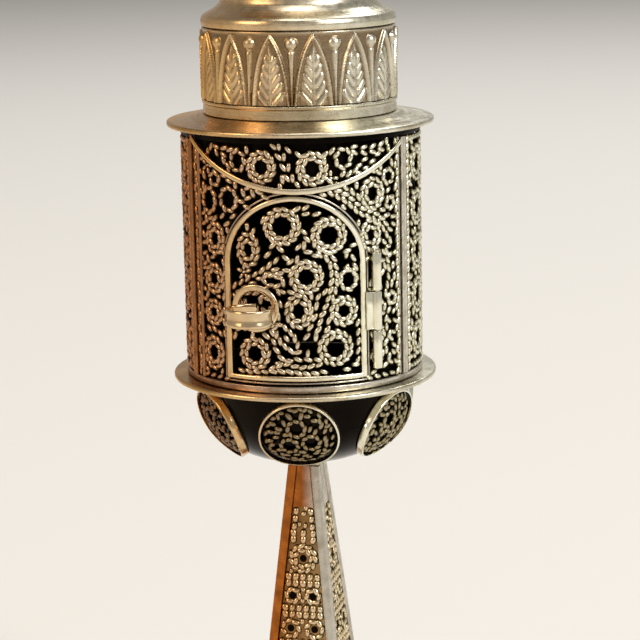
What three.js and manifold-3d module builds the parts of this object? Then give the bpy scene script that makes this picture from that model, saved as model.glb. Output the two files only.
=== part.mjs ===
// A silver filigree spice tower: a square stepped foot and a tall pyramid stem carry a bowl and a
// round filigree drum with a hinged door, and a leaf band, a steeple, a ball and a pennant stand on
// the drum. Millimetres, +Z up, the origin under the middle of the foot, the door facing -Y.
// Angles round the axis are measured from the middle of the door, positive towards +X.
import * as THREE from "three";
import { mergeVertices } from "three/addons/utils/BufferGeometryUtils.js";
import Module from "manifold-3d";

const wasm = await Module();
wasm.setup();

// Clearances and the overrun that every cut shares.
const seatGap = 0.15;
const doorGap = 0.3;
const pinGap = 0.1;
const cutOver = 4;

// Foot: a closing plate and a stepped sheet plinth.
const plateWidth = 55;
const plateThickness = 1.2;
const plinthWidth = 54;
const plinthHeight = 12;
const plinthWall = 1;
const plinthTopWidth = 24.5;
// Outline of the plinth from its outer foot up to its top: shares of the way in, and of the height.
const plinthInShares = [0, 0, 0.22, 0.22, 0.3, 0.42, 0.62, 0.9, 1];
const plinthUpShares = [0, 0.36, 0.36, 0.6, 0.64, 0.72, 0.8, 0.86, 0.86];

// Stem: four corner strips and four pierced panels round a hollow, turned from the door.
const stemTurn = THREE.MathUtils.degToRad(-11);
const stemFootWidth = 21.8;
const stemTopWidth = 6;
const stemHeight = 76;
const stripWidth = 1.7;
const stripThickness = 0.8;
const panelSet = 0.25;
const stemPanelThickness = 0.6;
const stemHoleRows = 9;
const stemPairRows = 3;
const stemPlainShare = 0.14;
const stemHoleShare = 0.3;
const stemPairHoleShare = 0.23;
const stemPairPlaceShare = 0.5;
// Above one, the rows of openings draw together towards the foot.
const stemRowPower = 1.3;
const stemCapHeight = 1.2;
const studRadius = 1.5;
const studLength = 6;
const studGap = 0.4;
const nutWidth = 5.4;
const nutHeight = 2;

// Bowl under the drum, a superellipse in section, and its six roundels.
const bowlRadius = 19.5;
const bowlDepth = 16;
const bowlPower = 2.6;
const bowlWall = 0.7;
const bowlDepthShares = [0, 0.34, 0.56, 0.74, 0.88, 0.96];
const roundels = 6;
const roundelRadius = 7.6;
const roundelDrop = 8;
const roundelWall = 0.7;
const roundelHeight = 1.5;
const filigreeThickness = 0.8;
const trefoilRadius = 3.1;
const trefoilHoleRadius = 1.1;
const rimHoleRadius = 0.8;

// Drum between two flanges.
const flangeRadius = 24.5;
const flangeThickness = 0.9;
const flangeRise = 1.2;
const drumRadius = 22;
const drumHeight = 46.1;
const drumPanelThickness = 0.8;
const drumRingHeight = 1.2;
const drumRingThickness = 1;
const liningThickness = 0.4;
const postWidth = 2.2;
const postProud = 0.3;
const frontPanelSpan = THREE.MathUtils.degToRad(120);
const sidePanelSpan = THREE.MathUtils.degToRad(60);
const swagLow = 36.6;
const swagHigh = 45;
const swagWidth = 1;
const swagThickness = 0.6;
const swagSpan = THREE.MathUtils.degToRad(112);
const swagSteps = 16;
const drumHoleRadius = 2.8;
const drumSmallHoleRadius = 1.3;
const drumHoleRows = 5;
const columnShare = 0.56;
const crestShares = [-0.66, -0.32, 0, 0.32, 0.66];

// Door: widths are measured along the drum's round face.
const doorWidth = 26.4;
const doorBottom = 2.4;
const doorSpring = 23.5;
const doorTop = 35.7;
const frameWidth = 0.95;
const frameProud = 0.5;
// Rings of the door's filigree: across and up as shares of the half width and of the height, and
// the outer radius as a share of the half width.
const doorRingShares = [
  [-0.13, 0.835, 0.27],
  [0.467, 0.775, 0.26],
  [-0.66, 0.709, 0.19],
  [0.175, 0.568, 0.246],
  [0.05, 0.39, 0.205],
  [0.672, 0.373, 0.22],
  [0.56, 0.186, 0.26],
  [-0.58, 0.16, 0.22],
];
const ringHoleShare = 0.5;
// Open places between the rings, in the same shares.
const doorGapShares = [
  [-0.42, 0.6, 0.08],
  [-0.28, 0.7, 0.08],
  [0.5, 0.5, 0.08],
  [0.42, 0.32, 0.08],
  [-0.02, 0.22, 0.09],
  [0.8, 0.55, 0.07],
  [0.16, 0.71, 0.07],
];

// Hinge on the right of the door, with its pin. Its axis stands clear of the door's edge.
const hingeFromDoor = 1.7;
const knuckleRadius = 0.85;
const knuckleBottom = 4;
const knuckleHeight = 6.8;
const knuckleGap = 0.3;
const hingePinRadius = 0.35;
const pinHeadRadius = 0.6;
const pinHeadHeight = 0.3;
const hingeLeafThickness = 0.45;
const doorLeafWidth = 2.8;
const drumLeafWidth = 1.8;

// Pull: a flat eye on the door, and a loop of strip that stands out of it.
const eyeFromDoorEdge = 6.3;
const eyeUp = 15.7;
const eyeRadius = 4.3;
const eyeHoleRadius = 3.1;
const eyeThickness = 0.5;
const bandWidth = 7.8;
const bandDepth = 7;
const bandHeight = 3.2;
const bandUp = 13.5;
const bandWall = 0.55;
const bandFromEye = 0.6;
// The share of a full turn that the loop's strip covers.
const bandTurnShare = 0.86;
const bandLineSteps = 16;

// Leaf band above the drum.
const leafBandRadius = 17.5;
const leafBandWall = 0.9;
const leafBandHeight = 12.9;
const leafCount = 14;
const leafProud = 0.4;
const leafWidth = 5.4;
const leafHeight = 10.6;
const budRadius = 0.8;
const baseStripHeight = 2.5;
const baseStripProud = 0.4;
// Outline of a leaf: half widths as shares of the leaf's width, heights as shares of its height.
const leafSideShares = [0.42, 0.46, 0.34, 0];
const leafUpShares = [0, 0.3, 0.7, 1];

// Roof: a shoulder and a steeple, with a ball, a staff and a pennant.
const roofRadius = 17.6;
const roofWall = 0.8;
const roofHeight = 54;
// Outline of the roof from its eaves up to its top: radii and heights as shares.
const roofRadiusShares = [1, 1.005, 0.995, 0.93, 0.85, 0.8, 0.78, 0.8, 0.73, 0.52, 0.36, 0.25, 0.16, 0.11];
const roofUpShares = [0, 0.02, 0.03, 0.046, 0.062, 0.09, 0.19, 0.2, 0.27, 0.4, 0.54, 0.7, 0.87, 1];
// The inside, from the top down, in the same shares.
const roofInsideShares = [
  [0.11, 1],
  [0.16, 0.87],
  [0.36, 0.54],
  [0.73, 0.27],
  [0.77, 0.19],
  [0.775, 0.12],
  [0.87, 0.046],
  [1, 0],
];
const ballRadius = 4.4;
const ballNeckRadius = 1.9;
const ballNeckHeight = 1.6;
const staffRadius = 0.7;
const staffHeight = 17;
const tipRadius = 1.4;
const pennantLength = 14;
const pennantHeight = 7.5;
const pennantThickness = 0.5;
const pennantNotchShare = 0.3;
const sleeveRadius = 1.2;
const sleeveAbove = 1.5;

// Steps round a full turn, for the round pieces and for round openings.
const largeSteps = 42;
const bowlSteps = 30;
const bandSteps = 42;
const roofSteps = 30;
const roundelSteps = 16;
const smallSteps = 10;
const cutterSteps = 6;
const fineCutterSteps = 5;

// Heights of the seats, worked out from the sizes above.
const stemFoot = plinthHeight * plinthUpShares.at(-1) + plateThickness;
const stemTop = stemFoot + seatGap + stemHeight;
const capTop = stemTop + seatGap + stemCapHeight;
const bowlBottom = capTop + seatGap;
const lowerFlangeBottom = bowlBottom + bowlDepth + seatGap;
const drumFloor = lowerFlangeBottom + flangeThickness;
const drumCeiling = drumFloor + drumHeight;
const upperFlangeTop = drumCeiling + flangeThickness + flangeRise;
const bandFoot = upperFlangeTop + seatGap;
const leafFoot = bandFoot + baseStripHeight + seatGap;
const roofFoot = leafFoot + leafBandHeight + seatGap;
const roofTop = roofFoot + roofHeight;
const ballFoot = roofTop + seatGap;
const staffFoot = ballFoot + ballNeckHeight + 2 * ballRadius + seatGap;
const staffTop = staffFoot + staffHeight;

// Places across the door that follow its width.
const hingeAngle = (doorWidth / 2 + hingeFromDoor) / drumRadius;
const eyeAcross = eyeFromDoorEdge - doorWidth / 2;
const bandAcross = eyeAcross + bandFromEye;

const silver = { color: 0xb9b2a2, roughness: 0.32, metalness: 1 };
const wornSilver = { color: 0x9c8f78, roughness: 0.42, metalness: 1 };
const darkSilver = { color: 0x2e2b29, roughness: 0.3, metalness: 1 };

// The point at an angle round the axis, a radius and a height.
function onDrum(angle, radius, height) {
  return new THREE.Vector3(radius * Math.sin(angle), -radius * Math.cos(angle), height);
}

// A closed geometry as a manifold solid that faces outwards.
function solidOf(geometry) {
  const bare = new THREE.BufferGeometry();
  bare.setAttribute("position", geometry.getAttribute("position").clone());
  if (geometry.index) bare.setIndex(geometry.index.clone());
  const merged = mergeVertices(bare, seatGap / 1000);
  const build = (triVerts) =>
    new wasm.Manifold(
      new wasm.Mesh({
        numProp: 3,
        vertProperties: merged.getAttribute("position").array,
        triVerts,
      }),
    );
  const triVerts = new Uint32Array(merged.index.array);
  const made = build(triVerts);
  return made.volume() < 0 ? build(triVerts.reverse()) : made;
}

// A manifold solid as a flat-shaded geometry.
function geometryOf(solid) {
  const mesh = solid.getMesh();
  const geometry = new THREE.BufferGeometry();
  geometry.setAttribute("position", new THREE.BufferAttribute(mesh.vertProperties, 3));
  geometry.setIndex(new THREE.BufferAttribute(mesh.triVerts, 1));
  const flat = geometry.toNonIndexed();
  flat.computeVertexNormals();
  return flat;
}

function addMesh(parent, name, solid, finish) {
  const material = new THREE.MeshStandardMaterial(finish);
  const mesh = new THREE.Mesh(geometryOf(solid), material);
  mesh.name = name;
  parent.add(mesh);
  return mesh;
}

// A turned solid from a profile of [radius, height] points, closed on itself.
function turned(profile, steps) {
  const closed = [...profile, profile[0]];
  const points = closed.map(([radius, height]) => new THREE.Vector2(radius, height));
  const geometry = new THREE.LatheGeometry(points, steps);
  geometry.rotateX(Math.PI / 2);
  return solidOf(geometry);
}

// A solid through a row of matching sections. The cap is a fan from each section's first point.
function lofted(sections, ring) {
  const size = sections[0].length;
  const count = sections.length;
  const positions = sections.flat().flatMap((p) => [p.x, p.y, p.z]);
  const index = [];
  for (let i = 0; i < (ring ? count : count - 1); i++) {
    const here = i * size;
    const next = ((i + 1) % count) * size;
    for (let j = 0; j < size; j++) {
      const k = (j + 1) % size;
      index.push(here + j, here + k, next + k);
      index.push(here + j, next + k, next + j);
    }
  }
  for (let j = 1; j < size - 1 && !ring; j++) {
    const last = (count - 1) * size;
    index.push(0, j + 1, j);
    index.push(last, last + j, last + j + 1);
  }
  const geometry = new THREE.BufferGeometry();
  geometry.setAttribute("position", new THREE.Float32BufferAttribute(positions, 3));
  geometry.setIndex(index);
  return solidOf(geometry);
}

// A curved plate on a cylinder, between two angles, two radii and two heights.
function curvedPlate(from, to, inner, outer, foot, top) {
  const steps = Math.max(1, Math.round(((to - from) * largeSteps) / (2 * Math.PI)));
  const sections = [];
  for (let i = 0; i <= steps; i++) {
    const angle = from + ((to - from) * i) / steps;
    sections.push([
      onDrum(angle, inner, foot),
      onDrum(angle, outer, foot),
      onDrum(angle, outer, top),
      onDrum(angle, inner, top),
    ]);
  }
  return lofted(sections, false);
}

// A round cutter that points outwards from the axis.
function radialCutter(angle, height, radius, steps = cutterSteps) {
  const geometry = new THREE.CylinderGeometry(radius, radius, 2 * cutOver, steps);
  geometry.rotateZ(Math.PI / 2);
  geometry.rotateZ(angle - Math.PI / 2);
  const place = onDrum(angle, drumRadius, height);
  geometry.translate(place.x, place.y, place.z);
  return solidOf(geometry);
}

// An upright round rod or tube that stands at a place.
function uprightRod(radius, foot, height, x, y) {
  const geometry = new THREE.CylinderGeometry(radius, radius, height, smallSteps);
  geometry.rotateX(Math.PI / 2);
  geometry.translate(x, y, foot + height / 2);
  return solidOf(geometry);
}

// A square prism or frustum that stands on the axis.
function squareBlock(footWidth, topWidth, foot, top) {
  const section = (width, height) => {
    const half = width / 2;
    const corners = [[-half, -half], [half, -half], [half, half], [-half, half]];
    return corners.map(([x, y]) => new THREE.Vector3(x, y, height));
  };
  return lofted([section(footWidth, foot), section(topWidth, top)], false);
}

// Foot.
function plinthSolid() {
  const block = (inset, top) => {
    const widths = plinthInShares.map((share) => plinthWidth + (plinthTopWidth - plinthWidth) * share);
    const heights = plinthUpShares.map((share) => plateThickness + plinthHeight * share);
    let whole = null;
    for (let i = 0; i < widths.length - 1; i++) {
      if (heights[i + 1] === heights[i]) continue;
      const foot = i === 0 ? heights[0] - (inset ? cutOver : 0) : heights[i] - inset;
      const piece = squareBlock(
        widths[i] - 2 * inset,
        widths[i + 1] - 2 * inset,
        foot,
        heights[i + 1] - top,
      );
      whole = whole ? whole.add(piece) : piece;
    }
    return whole;
  };
  return block(0, 0).subtract(block(plinthWall, plinthWall));
}

// Half the stem's width at a height.
function stemHalf(height) {
  const share = (height - stemFoot - seatGap) / stemHeight;
  return (stemFootWidth + (stemTopWidth - stemFootWidth) * share) / 2;
}

function stemStripSolid() {
  const section = (height) => {
    const half = stemHalf(height);
    const inner = half - stripThickness;
    const leg = half - stripWidth;
    const corners = [[inner, inner], [inner, leg], [half, leg], [half, half], [leg, half], [leg, inner]];
    return corners.map(([x, y]) => new THREE.Vector3(x, -y, height));
  };
  return lofted([section(stemFoot + seatGap), section(stemTop)], false);
}

function stemPanelSolid() {
  const section = (height) => {
    const half = stemHalf(height) - stripWidth - seatGap;
    const face = stemHalf(height) - panelSet;
    const back = face - stemPanelThickness;
    const corners = [[-half, -face], [half, -face], [half, -back], [-half, -back]];
    return corners.map(([x, y]) => new THREE.Vector3(x, y, height));
  };
  let panel = lofted([section(stemFoot + seatGap), section(stemTop)], false);
  const rows = [...Array(stemHoleRows).keys()];
  const low = stemFoot + stripWidth;
  const high = stemTop - stemHeight * stemPlainShare;
  for (const row of rows) {
    const share = (row + 0.5) / stemHoleRows;
    const height = low + (high - low) * (1 - (1 - share) ** stemRowPower);
    const half = stemHalf(height) - stripWidth;
    const paired = row < stemPairRows;
    const radius = half * (paired ? stemPairHoleShare : stemHoleShare);
    for (const side of paired ? [-stemPairPlaceShare, stemPairPlaceShare] : [0]) {
      const geometry = new THREE.CylinderGeometry(radius, radius, 2 * cutOver, cutterSteps);
      geometry.translate(side * half, -stemHalf(height), height);
      panel = panel.subtract(solidOf(geometry));
    }
  }
  return panel;
}

function stemCapSolid() {
  return squareBlock(stemTopWidth, stemTopWidth, stemTop + seatGap, capTop).add(
    uprightRod(studRadius, stemTop + seatGap, studLength + stemCapHeight, 0, 0),
  );
}

function stemNutSolid() {
  const foot = bowlBottom + bowlWall + 2 * seatGap;
  return squareBlock(nutWidth, nutWidth, foot, foot + nutHeight).subtract(
    uprightRod(studRadius + pinGap, foot - cutOver, nutHeight + 2 * cutOver, 0, 0),
  );
}

// The bowl's outer radius, grown by an offset, at a depth under the flange.
function bowlAt(depthShare, grow) {
  const radius = (bowlRadius + grow) * (1 - depthShare ** bowlPower) ** (1 / bowlPower);
  return [radius, bowlBottom + bowlDepth - (bowlDepth + grow) * depthShare];
}

// A solid of the bowl's form, grown by an offset, with a flat top.
function bowlForm(grow, holeRadius) {
  const profile = bowlDepthShares.map((share) => bowlAt(share, grow));
  profile.push([holeRadius, bowlBottom - grow]);
  profile.push([holeRadius, bowlBottom + bowlDepth]);
  return profile;
}

function bowlSolid() {
  const outer = bowlForm(0, studRadius + studGap).slice(0, -1);
  const inner = bowlForm(-bowlWall, studRadius + studGap).slice(0, -1);
  return turned([...outer, ...inner.reverse()], bowlSteps);
}

// A roundel lies on the bowl, tilted with it. This turns a piece made round the Z axis.
function toRoundel(geometry) {
  const depthShare = roundelDrop / bowlDepth;
  const [radius, height] = bowlAt(depthShare, 0);
  const outward = (radius / bowlRadius) ** (bowlPower - 1) / bowlRadius;
  const downward = depthShare ** (bowlPower - 1) / bowlDepth;
  geometry.rotateX(Math.PI / 2 + Math.atan2(downward, outward));
  geometry.translate(0, -radius, height);
  return solidOf(geometry);
}

function roundelPrism(radius, x, y, steps) {
  const geometry = new THREE.CylinderGeometry(radius, radius, 2 * cutOver, steps);
  geometry.rotateX(Math.PI / 2);
  geometry.translate(x, y, 0);
  return toRoundel(geometry);
}

// The skin of space over the bowl between two offsets.
function bowlSkin(from, to) {
  const whole = (grow) => turned(bowlForm(grow, 0), bowlSteps);
  return whole(to).subtract(whole(from));
}

function roundelFrameSolid() {
  const ring = roundelPrism(roundelRadius, 0, 0, roundelSteps).subtract(
    roundelPrism(roundelRadius - roundelWall, 0, 0, roundelSteps),
  );
  return bowlSkin(seatGap, roundelHeight).intersect(ring);
}

function roundelFiligreeSolid() {
  const disc = roundelPrism(roundelRadius - roundelWall - seatGap, 0, 0, roundelSteps);
  let plate = bowlSkin(seatGap, seatGap + filigreeThickness).intersect(disc);
  for (let i = 0; i < 3; i++) {
    const angle = Math.PI / 2 + (i * 2 * Math.PI) / 3;
    const between = angle + Math.PI / 3;
    const rim = roundelRadius - roundelWall - 2 * rimHoleRadius;
    const place = [trefoilRadius * Math.cos(angle), trefoilRadius * Math.sin(angle)];
    const gap = [rim * Math.cos(between), rim * Math.sin(between)];
    plate = plate.subtract(roundelPrism(trefoilHoleRadius, ...place, cutterSteps));
    plate = plate.subtract(roundelPrism(rimHoleRadius, ...gap, fineCutterSteps));
  }
  return plate;
}

// Flanges.
function lowerFlangeSolid() {
  const lip = flangeThickness / 3;
  return turned(
    [
      [0, lowerFlangeBottom],
      [flangeRadius - lip, lowerFlangeBottom],
      [flangeRadius, lowerFlangeBottom + lip],
      [flangeRadius, drumFloor - lip],
      [flangeRadius - lip, drumFloor],
      [0, drumFloor],
    ],
    largeSteps,
  );
}

function upperFlangeSolid() {
  const lip = flangeThickness / 3;
  const rim = drumCeiling + flangeThickness;
  const shelf = leafBandRadius + baseStripProud;
  return turned(
    [
      [0, drumCeiling],
      [flangeRadius - lip, drumCeiling],
      [flangeRadius, drumCeiling + lip],
      [flangeRadius, rim - lip],
      [flangeRadius - lip, rim],
      [shelf, upperFlangeTop],
      [0, upperFlangeTop],
    ],
    largeSteps,
  );
}

// Drum.
const wallFoot = drumFloor + seatGap;
const wallTop = drumCeiling - seatGap;
const panelFoot = wallFoot + drumRingHeight + seatGap;
const panelTop = wallTop - drumRingHeight - seatGap;

function drumRingSolid(foot) {
  const inner = drumRadius - drumRingThickness;
  return turned(
    [
      [inner, foot],
      [drumRadius, foot],
      [drumRadius, foot + drumRingHeight],
      [inner, foot + drumRingHeight],
    ],
    largeSteps,
  );
}

// A thin sheet inside the filigree keeps the spices in. It has the same doorway as the wall.
function liningSolid() {
  const outer = drumRadius - drumRingThickness - seatGap;
  const inner = outer - liningThickness;
  return turned(
    [
      [inner, wallFoot],
      [outer, wallFoot],
      [outer, wallTop],
      [inner, wallTop],
    ],
    largeSteps,
  ).subtract(doorPrism(-doorGap));
}

const postHalfAngle = postWidth / drumRadius / 2;
const gapAngle = seatGap / drumRadius;

function postSolid() {
  const inner = drumRadius - drumPanelThickness;
  return curvedPlate(
    -postHalfAngle,
    postHalfAngle,
    inner,
    drumRadius + postProud,
    panelFoot,
    panelTop,
  );
}

function drumPanel(span) {
  const half = span / 2 - postHalfAngle - gapAngle;
  return curvedPlate(-half, half, drumRadius - drumPanelThickness, drumRadius, panelFoot, panelTop);
}

// Heights of the rows of openings in the drum's filigree.
function rowHeights(rows) {
  const pitch = (panelTop - panelFoot) / rows;
  return [...Array(rows).keys()].map((row) => panelFoot + pitch * (row + 0.5));
}

function sidePanelSolid() {
  let panel = drumPanel(sidePanelSpan);
  const third = (sidePanelSpan / 2 - postHalfAngle) * columnShare;
  for (const height of rowHeights(drumHoleRows)) {
    panel = panel.subtract(radialCutter(-third, height, drumHoleRadius));
    panel = panel.subtract(radialCutter(third, height, drumHoleRadius));
  }
  const between = rowHeights(drumHoleRows).slice(1);
  const halfPitch = (panelTop - panelFoot) / drumHoleRows / 2;
  for (const height of between)
    panel = panel.subtract(radialCutter(0, height - halfPitch, drumSmallHoleRadius, fineCutterSteps));
  return panel;
}

// The door's outline in the XZ plane, drawn in by an inset all round.
function doorOutline(inset) {
  const half = drumRadius * Math.sin(doorWidth / drumRadius / 2) - inset;
  const foot = drumFloor + doorBottom + inset;
  const spring = drumFloor + doorSpring;
  const rise = doorTop - doorSpring - inset;
  const points = [[-half, foot], [half, foot]];
  for (let i = 0; i <= smallSteps; i++) {
    const angle = (Math.PI * i) / smallSteps;
    points.push([half * Math.cos(angle), spring + rise * Math.sin(angle)]);
  }
  return points;
}

// The outline as a prism that passes through the front of the drum only.
function doorPrism(inset) {
  const shape = new THREE.Shape(doorOutline(inset).map(([x, z]) => new THREE.Vector2(x, z)));
  const depth = drumRadius;
  const geometry = new THREE.ExtrudeGeometry(shape, { depth, bevelEnabled: false });
  geometry.rotateX(Math.PI / 2);
  geometry.translate(0, -drumRadius / 2, 0);
  return solidOf(geometry);
}

// The height of the swag at an angle: a shallow U that hangs from the drum's top edge.
function swagHeight(angle) {
  const share = angle / (swagSpan / 2);
  return drumFloor + swagLow + (swagHigh - swagLow) * share ** 2;
}

function frontPanelSolid() {
  let panel = drumPanel(frontPanelSpan).subtract(doorPrism(-doorGap));
  const side = (doorWidth / 2 / drumRadius + frontPanelSpan / 2 - postHalfAngle) / 2;
  const level = rowHeights(drumHoleRows);
  for (const height of level.slice(0, -1)) {
    panel = panel.subtract(radialCutter(-side, height, drumHoleRadius));
    panel = panel.subtract(radialCutter(side, height, drumHoleRadius));
  }
  for (const share of crestShares) {
    const height = (swagHeight((share * swagSpan) / 2) + panelTop) / 2;
    const radius = drumHoleRadius * (1 - share ** 2);
    panel = panel.subtract(radialCutter((share * swagSpan) / 2, height, radius));
  }
  return panel;
}

function swagSolid() {
  const sections = [];
  const inner = drumRadius + seatGap;
  const outer = inner + swagThickness;
  const half = swagWidth / 2;
  for (let i = 0; i <= swagSteps; i++) {
    const angle = -swagSpan / 2 + (swagSpan * i) / swagSteps;
    const height = swagHeight(angle);
    sections.push([
      onDrum(angle, inner, height - half),
      onDrum(angle, outer, height - half),
      onDrum(angle, outer, height + half),
      onDrum(angle, inner, height + half),
    ]);
  }
  return lofted(sections, false);
}

// Door.
const doorFace = drumRadius + frameProud;

function frontShell(inner, outer) {
  const half = frontPanelSpan / 2;
  return curvedPlate(-half, half, inner, outer, drumFloor, drumCeiling);
}

function doorFrameSolid() {
  const rim = doorPrism(0).subtract(doorPrism(frameWidth));
  return frontShell(drumRadius - drumPanelThickness, doorFace).intersect(rim);
}

function doorFiligreeSolid() {
  const shell = frontShell(drumRadius - drumPanelThickness, drumRadius);
  let plate = shell.intersect(doorPrism(frameWidth + seatGap));
  const half = doorWidth / 2;
  const tall = doorTop - doorBottom;
  const cut = (across, up, radius, steps) => {
    const height = drumFloor + doorBottom + tall * up;
    plate = plate.subtract(radialCutter((half * across) / drumRadius, height, radius, steps));
  };
  for (const [across, up, size] of doorRingShares) cut(across, up, half * size * ringHoleShare);
  for (const [across, up, size] of doorGapShares) cut(across, up, half * size, fineCutterSteps);
  cut(eyeAcross / half, (eyeUp - doorBottom) / tall, eyeHoleRadius);
  return plate;
}

function pullEyeSolid() {
  const angle = eyeAcross / drumRadius;
  const height = drumFloor + eyeUp;
  const inner = doorFace + seatGap;
  return frontShell(inner, inner + eyeThickness)
    .intersect(radialCutter(angle, height, eyeRadius))
    .subtract(radialCutter(angle, height, eyeHoleRadius));
}

// The loop of strip, as seen from above: along the eye, round the front and back into its hole.
function pullBandSolid() {
  const seat = doorFace + eyeThickness + 2 * seatGap;
  const across = bandWidth / 2;
  const deep = bandDepth / 2;
  const line = [];
  for (let i = 0; i <= bandLineSteps; i++) {
    const turn = Math.PI / 2 + (i * 2 * Math.PI * bandTurnShare) / bandLineSteps;
    line.push([across * Math.cos(turn), deep * Math.sin(turn)]);
  }
  const middle = bandAcross / drumRadius;
  const sections = line.map(([u, v], i) => {
    const before = line[Math.max(0, i - 1)];
    const after = line[Math.min(line.length - 1, i + 1)];
    const run = new THREE.Vector2(after[0] - before[0], after[1] - before[1]).normalize();
    const corner = (side, height) => {
      const x = u - (side * run.y * bandWall) / 2;
      const y = v + (side * run.x * bandWall) / 2 - deep - bandWall / 2 - seat;
      const place = new THREE.Vector3(x, y, drumFloor + bandUp + height);
      return place.applyAxisAngle(new THREE.Vector3(0, 0, 1), middle);
    };
    return [corner(-1, 0), corner(1, 0), corner(1, bandHeight), corner(-1, bandHeight)];
  });
  return lofted(sections, false);
}

// Hinge: barrels on one axis, with leaves on the drum or on the door.
const hingeRadius = drumRadius + seatGap + knuckleRadius;
const hingePlace = onDrum(hingeAngle, hingeRadius, 0);

function barrel(order) {
  const foot = drumFloor + knuckleBottom + order * (knuckleHeight + knuckleGap);
  return { foot, rod: uprightRod(knuckleRadius, foot, knuckleHeight, hingePlace.x, hingePlace.y) };
}

function boreOut(solid) {
  const bore = uprightRod(
    hingePinRadius + pinGap,
    drumFloor - cutOver,
    drumHeight + cutOver,
    hingePlace.x,
    hingePlace.y,
  );
  return solid.subtract(bore);
}

function drumKnuckleSolid(order) {
  const { foot, rod } = barrel(order);
  const inner = drumRadius + seatGap;
  const to = hingeAngle + drumLeafWidth / drumRadius;
  const leaf = curvedPlate(hingeAngle, to, inner, inner + hingeLeafThickness, foot, foot + knuckleHeight);
  return boreOut(rod.add(leaf));
}

function doorKnuckleSolid() {
  const { foot, rod } = barrel(1);
  const inner = doorFace + seatGap;
  const from = hingeAngle - doorLeafWidth / drumRadius;
  const leaf = curvedPlate(from, hingeAngle, inner, inner + hingeLeafThickness, foot, foot + knuckleHeight);
  return boreOut(rod.add(leaf));
}

function hingePinSolid() {
  const { x, y } = hingePlace;
  const foot = drumFloor + knuckleBottom;
  const length = 3 * knuckleHeight + 2 * knuckleGap;
  const head = foot + length + seatGap;
  return uprightRod(hingePinRadius, foot, length + 2 * seatGap, x, y).add(
    uprightRod(pinHeadRadius, head, pinHeadHeight, x, y),
  );
}

// Leaf band.
function baseStripSolid() {
  const outer = leafBandRadius + baseStripProud;
  const inner = leafBandRadius - leafBandWall;
  const lip = baseStripProud / 2;
  return turned(
    [
      [inner, bandFoot],
      [outer, bandFoot],
      [outer, bandFoot + baseStripHeight - lip],
      [outer - lip, bandFoot + baseStripHeight],
      [inner, bandFoot + baseStripHeight],
    ],
    bandSteps,
  );
}

// A raised lancet leaf on the band, as a prism that reaches into the band's wall.
function leafRelief(angle) {
  const points = [];
  leafSideShares.forEach((side, i) => points.push([side * leafWidth, leafUpShares[i] * leafHeight]));
  const left = points.slice(0, -1).reverse();
  const outline = [...points, ...left.map(([x, z]) => [-x, z])];
  const shape = new THREE.Shape(outline.map(([x, z]) => new THREE.Vector2(x, z)));
  const depth = leafBandWall / 2 + leafProud;
  const geometry = new THREE.ExtrudeGeometry(shape, { depth, bevelEnabled: false });
  geometry.rotateX(Math.PI / 2);
  const margin = (leafBandHeight - leafHeight) / 2;
  geometry.translate(0, -leafBandRadius + leafBandWall / 2, leafFoot + margin);
  geometry.rotateZ(angle);
  return solidOf(geometry);
}

function budRelief(angle) {
  const geometry = new THREE.OctahedronGeometry(budRadius);
  geometry.translate(0, -leafBandRadius, leafFoot + leafHeight);
  geometry.rotateZ(angle);
  return solidOf(geometry);
}

function leafBandSolid() {
  const inner = leafBandRadius - leafBandWall;
  const top = leafFoot + leafBandHeight;
  let band = turned(
    [
      [inner, leafFoot],
      [leafBandRadius, leafFoot],
      [leafBandRadius, top],
      [inner, top],
    ],
    bandSteps,
  );
  const pitch = (2 * Math.PI) / leafCount;
  for (let i = 0; i < leafCount; i++) {
    band = band.add(leafRelief((i + 0.5) * pitch));
    band = band.add(budRelief(i * pitch));
  }
  return band;
}

// Roof.
function roofSolid() {
  const outer = roofRadiusShares.map((share, i) => [
    roofRadius * share,
    roofFoot + roofHeight * roofUpShares[i],
  ]);
  const inner = roofInsideShares.map(([radius, up]) => [
    roofRadius * radius - roofWall,
    roofFoot + roofHeight * up,
  ]);
  return turned([...outer, ...inner], roofSteps);
}

function ballSolid() {
  const middle = ballFoot + ballNeckHeight + ballRadius;
  const sphere = new THREE.SphereGeometry(ballRadius, 1.5 * smallSteps, smallSteps - 2);
  sphere.rotateX(Math.PI / 2);
  sphere.translate(0, 0, middle);
  return solidOf(sphere).add(uprightRod(ballNeckRadius, ballFoot, ballNeckHeight + ballRadius, 0, 0));
}

function staffSolid() {
  const tip = new THREE.SphereGeometry(tipRadius, smallSteps, smallSteps / 2);
  tip.rotateX(Math.PI / 2);
  tip.translate(0, 0, staffTop);
  return uprightRod(staffRadius, staffFoot, staffHeight, 0, 0).add(solidOf(tip));
}

const sleeveFoot = staffFoot + sleeveAbove;
const sleeveHeight = staffHeight - sleeveAbove - tipRadius - seatGap;

function pennantSolid() {
  const sleeve = uprightRod(sleeveRadius, sleeveFoot, sleeveHeight, 0, 0);
  const top = sleeveFoot + sleeveHeight - seatGap;
  const notch = pennantLength * (1 - pennantNotchShare);
  const outline = [
    [0, top - pennantHeight],
    [pennantLength, top - pennantHeight],
    [notch, top - pennantHeight / 2],
    [pennantLength, top],
    [0, top],
  ];
  const shape = new THREE.Shape(outline.map(([x, z]) => new THREE.Vector2(x, z)));
  const flag = new THREE.ExtrudeGeometry(shape, { depth: pennantThickness, bevelEnabled: false });
  flag.rotateX(Math.PI / 2);
  flag.translate(0, pennantThickness / 2, 0);
  const bore = uprightRod(staffRadius + pinGap, sleeveFoot - cutOver, staffHeight + cutOver, 0, 0);
  return sleeve.add(solidOf(flag)).subtract(bore);
}

// The whole part.
const tower = new THREE.Group();

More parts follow.
